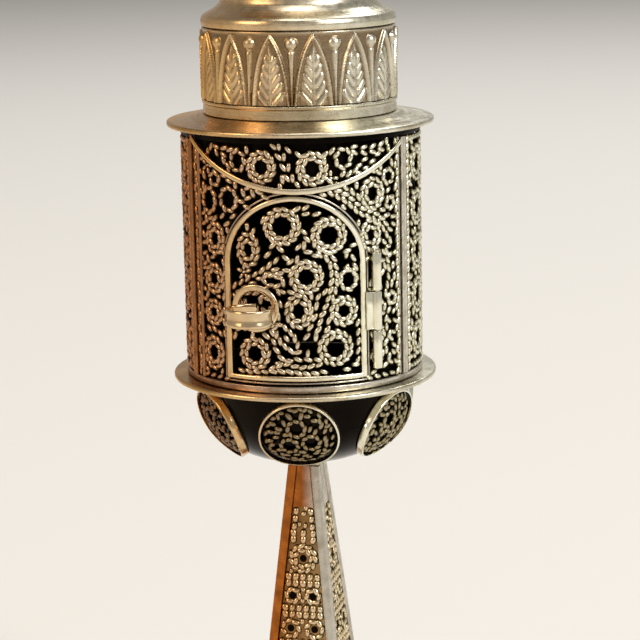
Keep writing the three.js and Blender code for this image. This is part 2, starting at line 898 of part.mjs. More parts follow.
const standing = new THREE.Group();
standing.rotation.z = stemTurn;
tower.add(standing);
addMesh(standing, "base_plate", squareBlock(plateWidth, plateWidth, 0, plateThickness - seatGap), wornSilver);
addMesh(standing, "base_plinth", plinthSolid(), silver);
addMesh(standing, "stem_cap_stud", stemCapSolid(), wornSilver);
addMesh(tower, "stem_nut", stemNutSolid(), wornSilver);
["front", "right", "back", "left"].forEach((side, i) => {
  const quarter = new THREE.Group();
  quarter.rotation.z = (i * Math.PI) / 2;
  standing.add(quarter);
  addMesh(quarter, "stem_strip_" + side, stemStripSolid(), silver);
  addMesh(quarter, "stem_panel_" + side, stemPanelSolid(), wornSilver);
});

addMesh(tower, "bowl", bowlSolid(), darkSilver);
for (let i = 0; i < roundels; i++) {
  const turn = new THREE.Group();
  turn.rotation.z = (i * 2 * Math.PI) / roundels;
  tower.add(turn);
  addMesh(turn, "roundel_frame_" + (i + 1), roundelFrameSolid(), silver);
  addMesh(turn, "roundel_filigree_" + (i + 1), roundelFiligreeSolid(), wornSilver);
}

addMesh(tower, "lower_flange", lowerFlangeSolid(), silver);
addMesh(tower, "upper_flange", upperFlangeSolid(), silver);
addMesh(tower, "drum_ring_bottom", drumRingSolid(wallFoot), wornSilver);
addMesh(tower, "drum_ring_top", drumRingSolid(wallTop - drumRingHeight), wornSilver);
addMesh(tower, "chamber_lining", liningSolid(), darkSilver);
addMesh(tower, "drum_panel_front", frontPanelSolid(), wornSilver);
["right", "back_right", "back_left", "left"].forEach((side, i) => {
  const panel = addMesh(tower, "drum_panel_" + side, sidePanelSolid(), wornSilver);
  panel.rotation.z = frontPanelSpan / 2 + sidePanelSpan * (i + 0.5);
});
["right", "back_right", "back", "back_left", "left"].forEach((side, i) => {
  const post = addMesh(tower, "drum_post_" + side, postSolid(), silver);
  post.rotation.z = frontPanelSpan / 2 + sidePanelSpan * i;
});
addMesh(tower, "swag_arc", swagSolid(), silver);

addMesh(tower, "door_frame", doorFrameSolid(), silver);
addMesh(tower, "door_filigree", doorFiligreeSolid(), wornSilver);
addMesh(tower, "door_knuckle", doorKnuckleSolid(), silver);
addMesh(tower, "pull_eye", pullEyeSolid(), silver);
addMesh(tower, "pull_band", pullBandSolid(), silver);
addMesh(tower, "hinge_knuckle_bottom", drumKnuckleSolid(0), silver);
addMesh(tower, "hinge_knuckle_top", drumKnuckleSolid(2), silver);
addMesh(tower, "hinge_pin", hingePinSolid(), wornSilver);

addMesh(tower, "band_base_strip", baseStripSolid(), silver);
addMesh(tower, "leaf_band", leafBandSolid(), silver);
addMesh(tower, "steeple", roofSolid(), silver);
addMesh(tower, "finial_ball", ballSolid(), silver);
addMesh(tower, "finial_staff", staffSolid(), silver);
addMesh(tower, "pennant", pennantSolid(), silver);

export default tower;
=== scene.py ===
# %% [markdown]
# # A filigree spice tower
# This lesson dresses a finished CAD model of a silver spice tower, about 25 cm tall. The model is
# the fixed frame: it says where every piece is and what moves. Blender only adds the fine shapes
# and the finishes, so each piece below is made in the model's own coordinates.

import math

import bpy
import numpy as np
from mathutils import Matrix, Vector


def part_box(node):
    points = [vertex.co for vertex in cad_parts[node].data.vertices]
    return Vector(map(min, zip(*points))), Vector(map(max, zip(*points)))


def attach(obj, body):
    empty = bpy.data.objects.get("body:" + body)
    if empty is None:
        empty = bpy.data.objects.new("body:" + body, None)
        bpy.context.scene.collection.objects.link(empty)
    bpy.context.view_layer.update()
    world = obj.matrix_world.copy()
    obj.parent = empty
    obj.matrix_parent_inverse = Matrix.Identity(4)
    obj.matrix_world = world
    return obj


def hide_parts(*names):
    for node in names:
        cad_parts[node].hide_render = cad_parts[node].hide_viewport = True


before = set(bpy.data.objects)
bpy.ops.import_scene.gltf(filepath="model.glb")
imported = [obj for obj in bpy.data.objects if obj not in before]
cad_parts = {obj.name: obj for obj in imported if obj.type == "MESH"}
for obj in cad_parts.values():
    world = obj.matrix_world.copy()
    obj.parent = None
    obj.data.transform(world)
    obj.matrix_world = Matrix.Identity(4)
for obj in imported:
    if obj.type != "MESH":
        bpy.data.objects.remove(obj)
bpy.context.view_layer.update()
MM = 0.001
FULL_TURN = 2 * math.pi


def heights(node):
    """The foot and the top of a CAD node, in millimetres."""
    return [round(corner.z / MM, 3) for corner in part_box(node)]


# %% [markdown]
# ## The camera
# The two flanges of the drum are circles, so their ovals in the photograph say how the camera
# stood: 12 degrees above the level, a little to the right, with a long lens. The small roll is
# the camera's own tilt to one side.

# %% Camera
SIDE_ANGLE, LOOK_DOWN, TURN_ASIDE, ROLL = (math.radians(a) for a in (4.4, 12.0, 0.418, -1.1))
CAMERA_AWAY, CAMERA_UP, LENS = 401.0, 200.32, 123.36

heading = math.pi / 2 + SIDE_ANGLE - TURN_ASIDE
forward = Vector((math.cos(heading) * math.cos(LOOK_DOWN), math.sin(heading) * math.cos(LOOK_DOWN),
                  -math.sin(LOOK_DOWN)))
level_right = forward.cross(Vector((0, 0, 1))).normalized()
level_up = level_right.cross(forward)
right = level_right * math.cos(ROLL) + level_up * math.sin(ROLL)
up = level_up * math.cos(ROLL) - level_right * math.sin(ROLL)

lens = bpy.data.cameras.new("photo_camera")
lens.sensor_width, lens.lens = 36.0, LENS
lens.clip_start, lens.clip_end = 0.01, 20.0
camera = bpy.data.objects.new("photo_camera", lens)
bpy.context.scene.collection.objects.link(camera)
place = Vector((CAMERA_AWAY * math.sin(SIDE_ANGLE), -CAMERA_AWAY * math.cos(SIDE_ANGLE), CAMERA_UP)) * MM
turn = Matrix((right, up, -forward)).transposed().to_4x4()
camera.matrix_world = Matrix.Translation(place) @ turn
bpy.context.scene.camera = camera
print("camera at", [round(v, 4) for v in place])

# %% [markdown]
# ## One helper for nodes
# Materials and Geometry Nodes are both trees of nodes. Each node is added by the same small
# function: it sets the node's own options, gives each input a number or a link, and gives back
# the one output that is wanted.

# %% Node helper
def add_node(tree, kind, inputs=None, out=0, **settings):
    node = tree.nodes.new(kind)
    for name, value in settings.items():
        setattr(node, name, value)
    for key, value in (inputs or {}).items():
        if isinstance(value, bpy.types.NodeSocket):
            tree.links.new(value, node.inputs[key])
        else:
            node.inputs[key].default_value = value
    return node.outputs[out] if len(node.outputs) else None


def linear(code):
    """An sRGB hex value as the linear colour that a shader works in."""
    parts = [int(code[i : i + 2], 16) / 255 for i in (1, 3, 5)]
    return tuple(p / 12.92 if p <= 0.04045 else ((p + 0.055) / 1.055) ** 2.4 for p in parts) + (1.0,)


print("mid grey is", round(linear("#808080")[0], 3))

# %% [markdown]
# ## The studio
# Silver has almost no colour of its own, so it shows what stands round it. A pale floor, a soft
# pale surround and four large soft lamps give it broad highlights and calm darker places between
# them. The key lamp on the right is white, and the lamp on the left is warmer and weaker. The
# floor is stage: it isn't part of the object.

# %% Floor and surround
FLOOR_REACH, FLOOR_DROP = 8.0, 0.0002

# Painted board: matt, so it keeps the tower's shadow and shows no mirror image.
board = bpy.data.materials.new("painted_board")
board.use_nodes = True
shader = board.node_tree.nodes["Principled BSDF"]
shader.inputs["Base Color"].default_value = linear("#d8d5cf")
shader.inputs["Roughness"].default_value = 0.9
shader.inputs["Specular IOR Level"].default_value = 0.1

corners = [(x * FLOOR_REACH, y * FLOOR_REACH, 0) for x, y in ((-1, -1), (1, -1), (1, 1), (-1, 1))]
floor = bpy.data.objects.new("floor", bpy.data.meshes.new("floor"))
floor.data.from_pydata(corners, [], [(0, 1, 2, 3)])
floor.location.z = -FLOOR_DROP
floor.data.materials.append(board)
bpy.context.scene.collection.objects.link(floor)

surround = bpy.data.worlds.new("surround")
bpy.context.scene.world = surround
surround.use_nodes = True
sky = surround.node_tree
sky.nodes.clear()
where = add_node(sky, "ShaderNodeTexCoord", out="Generated")
height = add_node(sky, "ShaderNodeSeparateXYZ", {0: where}, "Z")
shade = add_node(sky, "ShaderNodeValToRGB", {0: height})
low_end, high_end = shade.node.color_ramp.elements
low_end.color, high_end.color, high_end.position = linear("#c9c6c0"), linear("#8c8b8c"), 0.7
light = add_node(sky, "ShaderNodeBackground", {"Color": shade, "Strength": 0.9})
add_node(sky, "ShaderNodeOutputWorld", {"Surface": light})
bpy.context.scene.view_settings.view_transform = "Standard"

# %% Lamps
DRUM_MIDDLE = Vector((0, 0, 0.13))


def soft_lamp(name, azimuth, elevation, away, size, power, tint):
    """A square soft lamp that looks at the middle of the drum."""
    data = bpy.data.lights.new(name, "AREA")
    data.shape, data.size, data.energy = "SQUARE", size, power
    data.color = linear(tint)[:3]
    lamp = bpy.data.objects.new(name, data)
    a, e = math.radians(azimuth), math.radians(elevation)
    back = Vector((math.sin(a) * math.cos(e), -math.cos(a) * math.cos(e), math.sin(e)))
    turned_to = (-back).to_track_quat("-Z", "Y").to_matrix().to_4x4()
    lamp.matrix_world = Matrix.Translation(DRUM_MIDDLE + back * away) @ turned_to
    bpy.context.scene.collection.objects.link(lamp)


soft_lamp("key_lamp", 52, 34, 2.2, 0.9, 34.0, "#ffffff")
soft_lamp("fill_lamp", -56, 28, 2.3, 1.0, 18.0, "#ffe2b8")
soft_lamp("back_lamp", 165, 50, 2.4, 1.1, 26.0, "#ffffff")
soft_lamp("top_lamp", 10, 82, 2.3, 1.0, 14.0, "#ffffff")

# %% [markdown]
# ## One metal, many skins
# The tower is all silver, and its surfaces differ in how each was made and has aged, and in painted light and
# shade:
#
# - sheet silver, spun or struck, then polished: a soft mirror with fine lines round it;
# - drawn strip: a little rougher, browned where no cloth comes, bright on its worn edges;
# - twisted wire: bright on the grains, brown to nearly black in the twist and between the wires;
# - sheet under a black skin of tarnish: still smooth on the bowl; the same black, dull, is painted shade
#   inside the drum, under the upper plate and in the stem's holes.
#
# Most finishes take a colour for each side, warmer and darker on the left and lighter on the right: this is
# painted light, as from the weak warm lamp on the left and the white key lamp on the right. All patterns are
# in Object coordinates, so a size is a
# size: a noise of scale 1 / 0.004 has spots about 4 mm across. Metals keep the default IOR.

# %% What the finishes share
CLOUD_SIZE, CLOUD_ROUGHNESS = 0.011, 0.6
# Where the painted light turns from the warm left to the lighter right, in metres across: the tower, the
# stem's lace and the stem's corner strips.
TOWER_SPAN, STEM_SPAN, STRIP_SPAN = (-0.02, 0.01), (-0.006, 0.003), (-0.001, 0.002)


def silver_base(name):
    """A new metal material: its tree, its shader and its coordinates."""
    material = bpy.data.materials.new(name)
    material.use_nodes = True
    tree = material.node_tree
    shader = tree.nodes["Principled BSDF"]
    shader.inputs["Metallic"].default_value = 1.0
    return material, tree, shader, add_node(tree, "ShaderNodeTexCoord", out="Object")


def patina(tree, coordinates):
    """Slow clouds, from 0 on clean metal to 1 on tarnished metal."""
    clouds = add_node(tree, "ShaderNodeTexNoise", {"Vector": coordinates, "Scale": 1 / CLOUD_SIZE,
                                                   "Detail": 4.0, "Roughness": CLOUD_ROUGHNESS})
    return add_node(tree, "ShaderNodeMapRange", {0: clouds, 1: 0.36, 2: 0.68})


def painted_side_light(tree, coordinates, left, right, span=TOWER_SPAN):
    """Painted light: a colour that changes from the tower's left to its right, between two places in metres.
    """
    across = add_node(tree, "ShaderNodeSeparateXYZ", {0: coordinates})
    side = add_node(tree, "ShaderNodeMapRange", {0: across, 1: span[0], 2: span[1]})
    return add_node(tree, "ShaderNodeMix", {0: side, 6: linear(left), 7: linear(right)}, 2, data_type="RGBA")


def finished(tree, shader, colour, gloss, relief=None, depth=0.0):
    """Links a colour, a roughness and, if there is one, a relief of a real depth to the shader."""
    tree.links.new(colour, shader.inputs["Base Color"])
    tree.links.new(gloss, shader.inputs["Roughness"])
    if relief:
        bump = add_node(tree, "ShaderNodeBump", {"Height": relief, "Distance": depth, "Strength": 1.0})
        tree.links.new(bump, shader.inputs["Normal"])


# %% Polished sheet
LINE_GAP, LINE_STRETCH, SPECK_SIZE = 0.00015, 90, 0.0012


def polished_sheet(name, warm, cool, dull_warm, dull_cool, recess=None):
    """Sheet silver, polished with a cloth: lines 0.15 mm apart run round it."""
    material, tree, shader, coordinates = silver_base(name)
    clean = painted_side_light(tree, coordinates, warm, cool)
    dull = painted_side_light(tree, coordinates, dull_warm, dull_cool)
    colour = add_node(tree, "ShaderNodeMix", {0: patina(tree, coordinates), 6: clean, 7: dull}, 2,
                      data_type="RGBA")
    if recess:
        crest = add_node(tree, "ShaderNodeAttribute", out="Fac", attribute_name="crest")
        colour = add_node(tree, "ShaderNodeMix", {0: crest, 6: linear(recess), 7: colour}, 2,
                          data_type="RGBA")
    stretched = add_node(tree, "ShaderNodeMapping", {"Vector": coordinates,
                                                     "Scale": (LINE_STRETCH, LINE_STRETCH, 1 / LINE_GAP)})
    lines = add_node(tree, "ShaderNodeTexNoise", {"Vector": stretched, "Scale": 1.0, "Detail": 3.0})
    specks = add_node(tree, "ShaderNodeTexNoise", {"Vector": coordinates, "Scale": 1 / SPECK_SIZE,
                                                   "Detail": 6.0})
    rubbed = add_node(tree, "ShaderNodeMath", {0: lines, 1: specks}, operation="MULTIPLY")
    gloss = add_node(tree, "ShaderNodeMapRange", {0: rubbed, 1: 0.12, 2: 0.42, 3: 0.2, 4: 0.42})
    finished(tree, shader, colour, gloss, rubbed, 0.00004)
    return material


sheet_silver = polished_sheet("polished_sheet_silver", "#d5a458", "#e4e0cd", "#ac7d3e", "#b6ad92")
band_silver = polished_sheet("struck_sheet_silver", "#d6a558", "#dfdbc9", "#b4813f", "#b5ac93", "#7f6646")
print("sheet finishes:", sheet_silver.name, band_silver.name)

# %% Drawn strip
PATCH_SIZE = 0.002


def drawn_strip(name, left, right, brown_left, brown_right, cover, gloss=(0.2, 0.44), span=TOWER_SPAN):
    """Drawn silver strip with brown tarnish in 2 mm patches. The cover is how brown they get."""
    material, tree, shader, coordinates = silver_base(name)
    patches = add_node(tree, "ShaderNodeTexNoise", {"Vector": coordinates, "Scale": 1 / PATCH_SIZE,
                                                    "Detail": 5.0})
    worn = add_node(tree, "ShaderNodeMapRange", {0: patches, 1: 0.42, 2: 0.7, 4: cover})
    clean = painted_side_light(tree, coordinates, left, right, span)
    brown = painted_side_light(tree, coordinates, brown_left, brown_right, span)
    colour = add_node(tree, "ShaderNodeMix", {0: worn, 6: clean, 7: brown}, 2, data_type="RGBA")
    rough = add_node(tree, "ShaderNodeMapRange", {0: patches, 1: 0.3, 2: 0.7, 3: gloss[0], 4: gloss[1]})
    finished(tree, shader, colour, rough, patches, 0.00005)
    return material


strip_silver = drawn_strip("drawn_strip_silver", "#9c6431", "#d3cdc0", "#6b411d", "#948a76", 0.7)
arch_silver = drawn_strip("bright_strip_silver", "#cf983f", "#f2f0dc", "#a07038", "#d2c9ac", 0.4, (0.1, 0.26))
stem_silver = drawn_strip("stem_strip_silver", "#b4682a", "#c9c3b6", "#74401b", "#9a917f", 0.6,
                          span=STRIP_SPAN)
back_silver = drawn_strip("tarnished_back_silver", "#87562a", "#a98658", "#65401e", "#80643e", 0.6,
                          span=STEM_SPAN)

# %% Twisted wire
GRIME_SIZE = 0.0028


def twisted_wire(name, crest_left, crest_right, span=TOWER_SPAN):
    """Twisted wire, oxidised and wiped. The attribute "crest" is 0 in the twist and 1 on a grain."""
    material, tree, shader, coordinates = silver_base(name)
    crest = add_node(tree, "ShaderNodeAttribute", out="Fac", attribute_name="crest")
    grime = add_node(tree, "ShaderNodeTexNoise", {"Vector": coordinates, "Scale": 1 / GRIME_SIZE,
                                                  "Detail": 4.0})
    spread = add_node(tree, "ShaderNodeMapRange", {0: grime, 1: 0.3, 2: 0.7, 3: 0.12, 4: -0.2})
    wiped = add_node(tree, "ShaderNodeMath", {0: crest, 1: spread}, operation="ADD", use_clamp=True)
    # Brown to faintly green in the hollows, where the cloth doesn't come.
    deep = add_node(tree, "ShaderNodeMix", {0: patina(tree, coordinates), 6: linear("#2b2015"),
                                            7: linear("#2d2c1c")}, 2, data_type="RGBA")
    middle = painted_side_light(tree, coordinates, "#7a4a20", "#857848", span)
    tone = painted_side_light(tree, coordinates, crest_left, crest_right, span)
    low = add_node(tree, "ShaderNodeMapRange", {0: wiped, 1: 0.0, 2: 0.3})
    high = add_node(tree, "ShaderNodeMapRange", {0: wiped, 1: 0.3, 2: 0.75})
    foot = add_node(tree, "ShaderNodeMix", {0: low, 6: deep, 7: middle}, 2, data_type="RGBA")
    colour = add_node(tree, "ShaderNodeMix", {0: high, 6: foot, 7: tone}, 2, data_type="RGBA")
    gloss = add_node(tree, "ShaderNodeMapRange", {0: wiped, 1: 0.2, 2: 0.9, 3: 0.5, 4: 0.17})
    finished(tree, shader, colour, gloss)
    return material


wire_silver = twisted_wire("twisted_wire_silver", "#b06f30", "#efecd6")
# The roundels' wire has darker tones: painted shade, for the lower flange's shadow on the bowl.
shaded_wire = twisted_wire("shaded_wire_silver", "#6a4526", "#a89e86")
stem_wire = twisted_wire("stem_wire_silver", "#c98b4a", "#ecd8b6", STEM_SPAN)

# %% Blackened sheet
RUB_SIZE = 0.0015


def dark_sheet_finish(name, low, high, gloss_low, gloss_high):
    """A black finish with a few brown clouds and rubbed places: the bowl's skin of tarnish, and also painted
    shade where the inside is dark.
    """
    material, tree, shader, coordinates = silver_base(name)
    colours = {0: patina(tree, coordinates), 6: linear(low), 7: linear(high)}
    colour = add_node(tree, "ShaderNodeMix", colours, 2, data_type="RGBA")
    rub = add_node(tree, "ShaderNodeTexNoise", {"Vector": coordinates, "Scale": 1 / RUB_SIZE, "Detail": 5.0})
    gloss = add_node(tree, "ShaderNodeMapRange", {0: rub, 1: 0.3, 2: 0.75, 3: gloss_low, 4: gloss_high})
    finished(tree, shader, colour, gloss)
    return material


black_silver = dark_sheet_finish("blackened_sheet_silver", "#0f0d0c", "#1d1712", 0.1, 0.28)
# Painted shade: the dull black inside the chamber, on the ring in the upper plate's shadow, on the lining
# behind the lace and in the stem's holes.
painted_shade_black = dark_sheet_finish("painted_shade_black", "#0e0c0a", "#17120d", 0.45, 0.7)
print("finishes:", len(bpy.data.materials))

# %% [markdown]
# ## Twisted wire
# Filigree is two thin silver wires twisted together, then rolled a little flat. Seen from above,
# each half turn of the twist is one slanted grain, plump as a grain of rice. The grains give the
# lace its sparkle, so they are real shapes here, and not a bump on a round tube.
#
# All the ropes follow one rule, so one Geometry Nodes tree makes them: it divides each drawn line
# into equal steps, and lays one grain at each, turned a little away from the line. Every other
# line slants the other way, so two ropes side by side look plaited. A few percent of chance in
# size and slant keeps it hand work. A second tree lays single grains, each with its own lean.

# %% The grain
GRAIN_SEGMENTS, GRAIN_RINGS = 10, 6
SIZE_NAMES = ("Length", "Width", "Height", "Pitch")


def grain_shape(tree):
    """A low grain, 1 long, 1 wide and 1 high, with a faint seam along its top. It marks its crest."""
    ball = add_node(tree, "GeometryNodeMeshUVSphere", {"Segments": GRAIN_SEGMENTS, "Rings": GRAIN_RINGS,
                                                       "Radius": 0.5}, "Mesh")
    at = add_node(tree, "GeometryNodeInputPosition")
    x, y, z = add_node(tree, "ShaderNodeSeparateXYZ", {0: at}).node.outputs
    # The poles go to the grain's two ends, and the middle line of its top is let in.
    side = add_node(tree, "ShaderNodeMath", {0: x}, operation="ABSOLUTE")
    seam = add_node(tree, "ShaderNodeMapRange", {0: side, 2: 0.12, 3: 0.86, 4: 1.0})
    top = add_node(tree, "ShaderNodeMath", {0: y, 1: seam}, operation="MULTIPLY")
    laid = add_node(tree, "ShaderNodeCombineXYZ", {0: z, 1: x, 2: top})
    # Bright on top of its middle, dark at its foot and at its ends, where the next grain lies on it.
    high = add_node(tree, "ShaderNodeMapRange", {0: top, 1: 0.12, 2: 0.42})
    end = add_node(tree, "ShaderNodeMath", {0: z}, operation="ABSOLUTE")
    open_part = add_node(tree, "ShaderNodeMapRange", {0: end, 1: 0.2, 2: 0.42, 3: 1.0, 4: 0.0})
    crest = add_node(tree, "ShaderNodeMath", {0: high, 1: open_part}, operation="MULTIPLY")
    marked = {"Geometry": ball, "Name": "crest", "Value": crest}
    kept = add_node(tree, "GeometryNodeStoreNamedAttribute", marked, data_type="FLOAT", domain="POINT")
    grain = add_node(tree, "GeometryNodeSetPosition", {"Geometry": kept, "Position": laid})
    return add_node(tree, "GeometryNodeSetShadeSmooth", {"Geometry": grain})


def new_tree(name, source, numbers):
    """A new tree with a geometry input, named number inputs and a material input."""
    tree = bpy.data.node_groups.new(name, "GeometryNodeTree")
    face = tree.interface
    face.new_socket(source, in_out="INPUT", socket_type="NodeSocketGeometry")
    for key in numbers:
        face.new_socket(key, in_out="INPUT", socket_type="NodeSocketFloat")
    face.new_socket("Finish", in_out="INPUT", socket_type="NodeSocketMaterial")
    face.new_socket("Grains", in_out="OUTPUT", socket_type="NodeSocketGeometry")
    return tree, add_node(tree, "NodeGroupInput").node.outputs


def lay_grains(tree, given, places, lean, size):
    """The last part of both trees: a grain at each place, made real and given its finish."""
    upright = add_node(tree, "ShaderNodeCombineXYZ", {2: lean})
    spin = add_node(tree, "FunctionNodeEulerToRotation", {0: upright})
    sizes = add_node(tree, "ShaderNodeCombineXYZ", dict(enumerate(given[key] for key in SIZE_NAMES[:3])))
    scaled = add_node(tree, "ShaderNodeVectorMath", {0: sizes, "Scale": size}, operation="SCALE")
    placed = add_node(tree, "GeometryNodeInstanceOnPoints", {"Points": places, "Instance": grain_shape(tree),
                                                             "Rotation": spin, "Scale": scaled})
    real = add_node(tree, "GeometryNodeRealizeInstances", {0: placed})
    dressed = add_node(tree, "GeometryNodeSetMaterial", {"Geometry": real, "Material": given["Finish"]})
    add_node(tree, "NodeGroupOutput", {0: dressed})


# %% Geometry Nodes trees for ropes and for single grains
LOOSE, THINNEST, PLUMPEST = 0.12, 0.93, 1.08


def rope_tree():
    tree, given = new_tree("ropes", "Lines", (*SIZE_NAMES, "Slant"))
    length = add_node(tree, "GeometryNodeSplineLength", out="Length")
    steps = add_node(tree, "ShaderNodeMath", {0: length, 1: given["Pitch"]}, operation="DIVIDE")
    whole = add_node(tree, "ShaderNodeMath", {0: steps}, operation="ROUND")
    count = add_node(tree, "ShaderNodeMath", {0: whole, 1: 2.0}, operation="MAXIMUM")
    divided = {"Curve": given["Lines"], "Count": count}
    even = add_node(tree, "GeometryNodeResampleCurve", divided, mode="COUNT")
    tangent = add_node(tree, "GeometryNodeInputTangent")
    run = add_node(tree, "ShaderNodeSeparateXYZ", {0: tangent}).node.outputs
    heading = add_node(tree, "ShaderNodeMath", {0: run[1], 1: run[0]}, operation="ARCTAN2")
    order = add_node(tree, "GeometryNodeFieldOnDomain", {0: add_node(tree, "GeometryNodeInputIndex")},
                     domain="CURVE", data_type="INT")
    odd = add_node(tree, "ShaderNodeMath", {0: order, 1: 2.0}, operation="MODULO")
    hand = add_node(tree, "ShaderNodeMapRange", {0: odd, 3: -1.0, 4: 1.0})
    slant = add_node(tree, "ShaderNodeMath", {0: hand, 1: given["Slant"]}, operation="MULTIPLY")
    loose = add_node(tree, "FunctionNodeRandomValue", {2: -LOOSE, 3: LOOSE, "Seed": 3}, 1, data_type="FLOAT")
    lean = add_node(tree, "ShaderNodeMath", {0: heading, 1: slant}, operation="ADD")
    leant = add_node(tree, "ShaderNodeMath", {0: lean, 1: loose}, operation="ADD")
    size = add_node(tree, "FunctionNodeRandomValue", {2: THINNEST, 3: PLUMPEST, "Seed": 7}, 1,
                    data_type="FLOAT")
    lay_grains(tree, given, even, leant, size)
    return tree


def grain_tree():
    tree, given = new_tree("grains", "Places", SIZE_NAMES[:3])
    lean, size = (add_node(tree, "GeometryNodeInputNamedAttribute", {"Name": key}, data_type="FLOAT")
                  for key in ("lean", "size"))
    lay_grains(tree, given, given["Places"], lean, size)
    return tree


ROPES, GRAINS = rope_tree(), grain_tree()
print("tree nodes:", len(ROPES.nodes), "and", len(GRAINS.nodes))

# %% [markdown]
# ### From drawn lines to a mesh
# The lines are drawn flat, in millimetres: u across, v up. A line is a pair: its points, and
# whether it is closed. The modifier's inputs are set by their identifiers before the object is
# first evaluated, and the result is turned into a plain mesh, so no modifier is left.

# %% Meshes from lines and places
# Length, width and height of a grain in millimetres, and the pitch of the grains along a rope.
ROPE_SIZES, GRAIN_SIZES, SLANT = (2.1, 0.98, 0.92, 1.35), (1.8, 0.95, 0.92), 0.36


def grown(source, tree, sizes, finish):
    """The plain mesh that a tree makes of a curve or of points. The source is thrown away."""
    holder = bpy.data.objects.new("source", source)
    bpy.context.scene.collection.objects.link(holder)
    modifier = holder.modifiers.new("grow", "NODES")
    modifier.node_group = tree
    given = {name: size * MM for name, size in zip(SIZE_NAMES, sizes)}
    given.update({"Slant": SLANT, "Finish": finish})
    for item in tree.interface.items_tree:
        if item.in_out == "INPUT" and item.name in given:
            modifier[item.identifier] = given[item.name]
    mesh = bpy.data.meshes.new_from_object(holder.evaluated_get(bpy.context.evaluated_depsgraph_get()))
    bpy.data.objects.remove(holder)
    return mesh


def wire_mesh(lines, sizes=ROPE_SIZES, finish=wire_silver):
    """The mesh of ropes along flat lines, with its points still in (u, v, height)."""
    curve = bpy.data.curves.new("lines", "CURVE")
    curve.dimensions = "3D"
    for points, closed in lines:
        spline = curve.splines.new("POLY")
        spline.points.add(len(points) - 1)
        flat = np.zeros((len(points), 4))
        flat[:, :2] = np.array(points) * MM
        flat[:, 3] = 1
        spline.points.foreach_set("co", flat.ravel())
        spline.use_cyclic_u = closed
    return grown(curve, ROPES, sizes, finish)


def grain_mesh(grains, sizes=GRAIN_SIZES, finish=wire_silver):
    """A mesh of single grains at rows of (u, v, lean, size)."""
    rows = np.array(grains, float)
    dots = bpy.data.meshes.new("dots")
    dots.vertices.add(len(rows))
    dots.vertices.foreach_set("co", np.column_stack([rows[:, :2] * MM, 0 * rows[:, 0]]).ravel())
    for column, key in ((2, "lean"), (3, "size")):
        dots.attributes.new(key, "FLOAT", "POINT").data.foreach_set("value", rows[:, column])
    return grown(dots, GRAINS, sizes, finish)


def get_points(mesh):
    """A mesh's points in millimetres, one row each."""
    flat = np.zeros(len(mesh.vertices) * 3)
    mesh.vertices.foreach_get("co", flat)
    return flat.reshape(-1, 3) / MM


def set_points(mesh, points):
    mesh.vertices.foreach_set("co", (np.asarray(points) * MM).ravel())
    mesh.update()


# %% [markdown]
# ### The lines that a filigree worker draws
# A ring is one or two ropes, one inside the other, which touch. A leaf is a pointed loop. A
# flower is a few grains round one. Chains and curls join them.

# %% Line shapes
POINTS_PER_MM, LEAST_POINTS, LEAF_POINTS, SPAN_POINTS = 14, 14, 28, 10


def leant_line(u, v, x, y, lean):
    """A closed line of points round (u, v), turned by an angle."""
    c, s = math.cos(lean), math.sin(lean)
    return np.column_stack([u + x * c - y * s, v + x * s + y * c]), True


def circle_line(u, v, radius, tall=1.0, lean=0.0):
    """A closed ring, stretched upwards by a share and leant by an angle."""
    count = max(LEAST_POINTS, int(radius * POINTS_PER_MM))
    angles = np.linspace(0, FULL_TURN, count, endpoint=False)
    return leant_line(u, v, radius * np.cos(angles), radius * tall * np.sin(angles), lean)


def rope_ring(u, v, radii, tall=1.0, lean=0.0):
    return [circle_line(u, v, radius, tall, lean) for radius in radii]


def leaf_loop(u, v, length, width, lean):
    """A closed pointed loop, its middle at (u, v), its long way along the lean."""
    t = np.linspace(0, FULL_TURN, LEAF_POINTS, endpoint=False)
    across = width / 2 * np.sin(t) * np.abs(np.sin(t)) ** 0.35
    return leant_line(u, v, length / 2 * np.cos(t), across, lean)


def smooth_line(points, per_span=SPAN_POINTS):
    """An open smooth line through a few points (a Catmull-Rom spline)."""
    p = np.array(points, float)
    before = np.vstack([2 * p[0] - p[1], p[:-1]])
    after = np.vstack([p[1:], 2 * p[-1] - p[-2]])
    t = np.linspace(0, 1, per_span, endpoint=False)[:, None]
    rows = []
    for i in range(len(p) - 1):
        j = i + 1
        a, b, m, n = p[i], p[j], (after[i] - before[i]) / 2, (after[j] - before[j]) / 2
        rows.append((2 * t**3 - 3 * t**2 + 1) * a + (t**3 - 2 * t**2 + t) * m + (3 * t**2 - 2 * t**3) * b
                    + (t**3 - t**2) * n)
    return np.vstack([*rows, p[-1:]]), False


def curls(*lines):
    """A smooth line through each list of points."""
    return [smooth_line(points) for points in lines]


def flower_grains(u, v, radius, petals, lean=0.0):
    """Grains that point to the middle, and one there."""
    rows = [(u, v, lean, 0.6)]
    for i in range(petals):
        a = lean + FULL_TURN * i / petals
        rows.append((u + radius * math.cos(a), v + radius * math.sin(a), a, 0.8))
    return rows


print("a 3 mm ring has", len(circle_line(0, 0, 3)[0]), "drawn points")

# %% [markdown]
# ## From flat work to the tower
# Lace is made flat, and then bent round the drum. The small functions below do the same to a
# mesh's points: u becomes an arc on the drum, v a height, and the third number stands out from
# the drum's face. `add_piece` makes an object of the result and ties it to the CAD model.

# %% Bending and adding
DRUM_RADIUS = 22.0
LOWER_FOOT, DRUM_FLOOR = heights("lower_flange")
DRUM_CEILING, UPPER_TOP = heights("upper_flange")


def turned_by(points, turn):
    """Points (x, y, z), turned round the tower's axis."""
    p = np.asarray(points, float)
    c, s = math.cos(turn), math.sin(turn)
    return np.stack([p[..., 0] * c - p[..., 1] * s, p[..., 0] * s + p[..., 1] * c, p[..., 2]], -1)


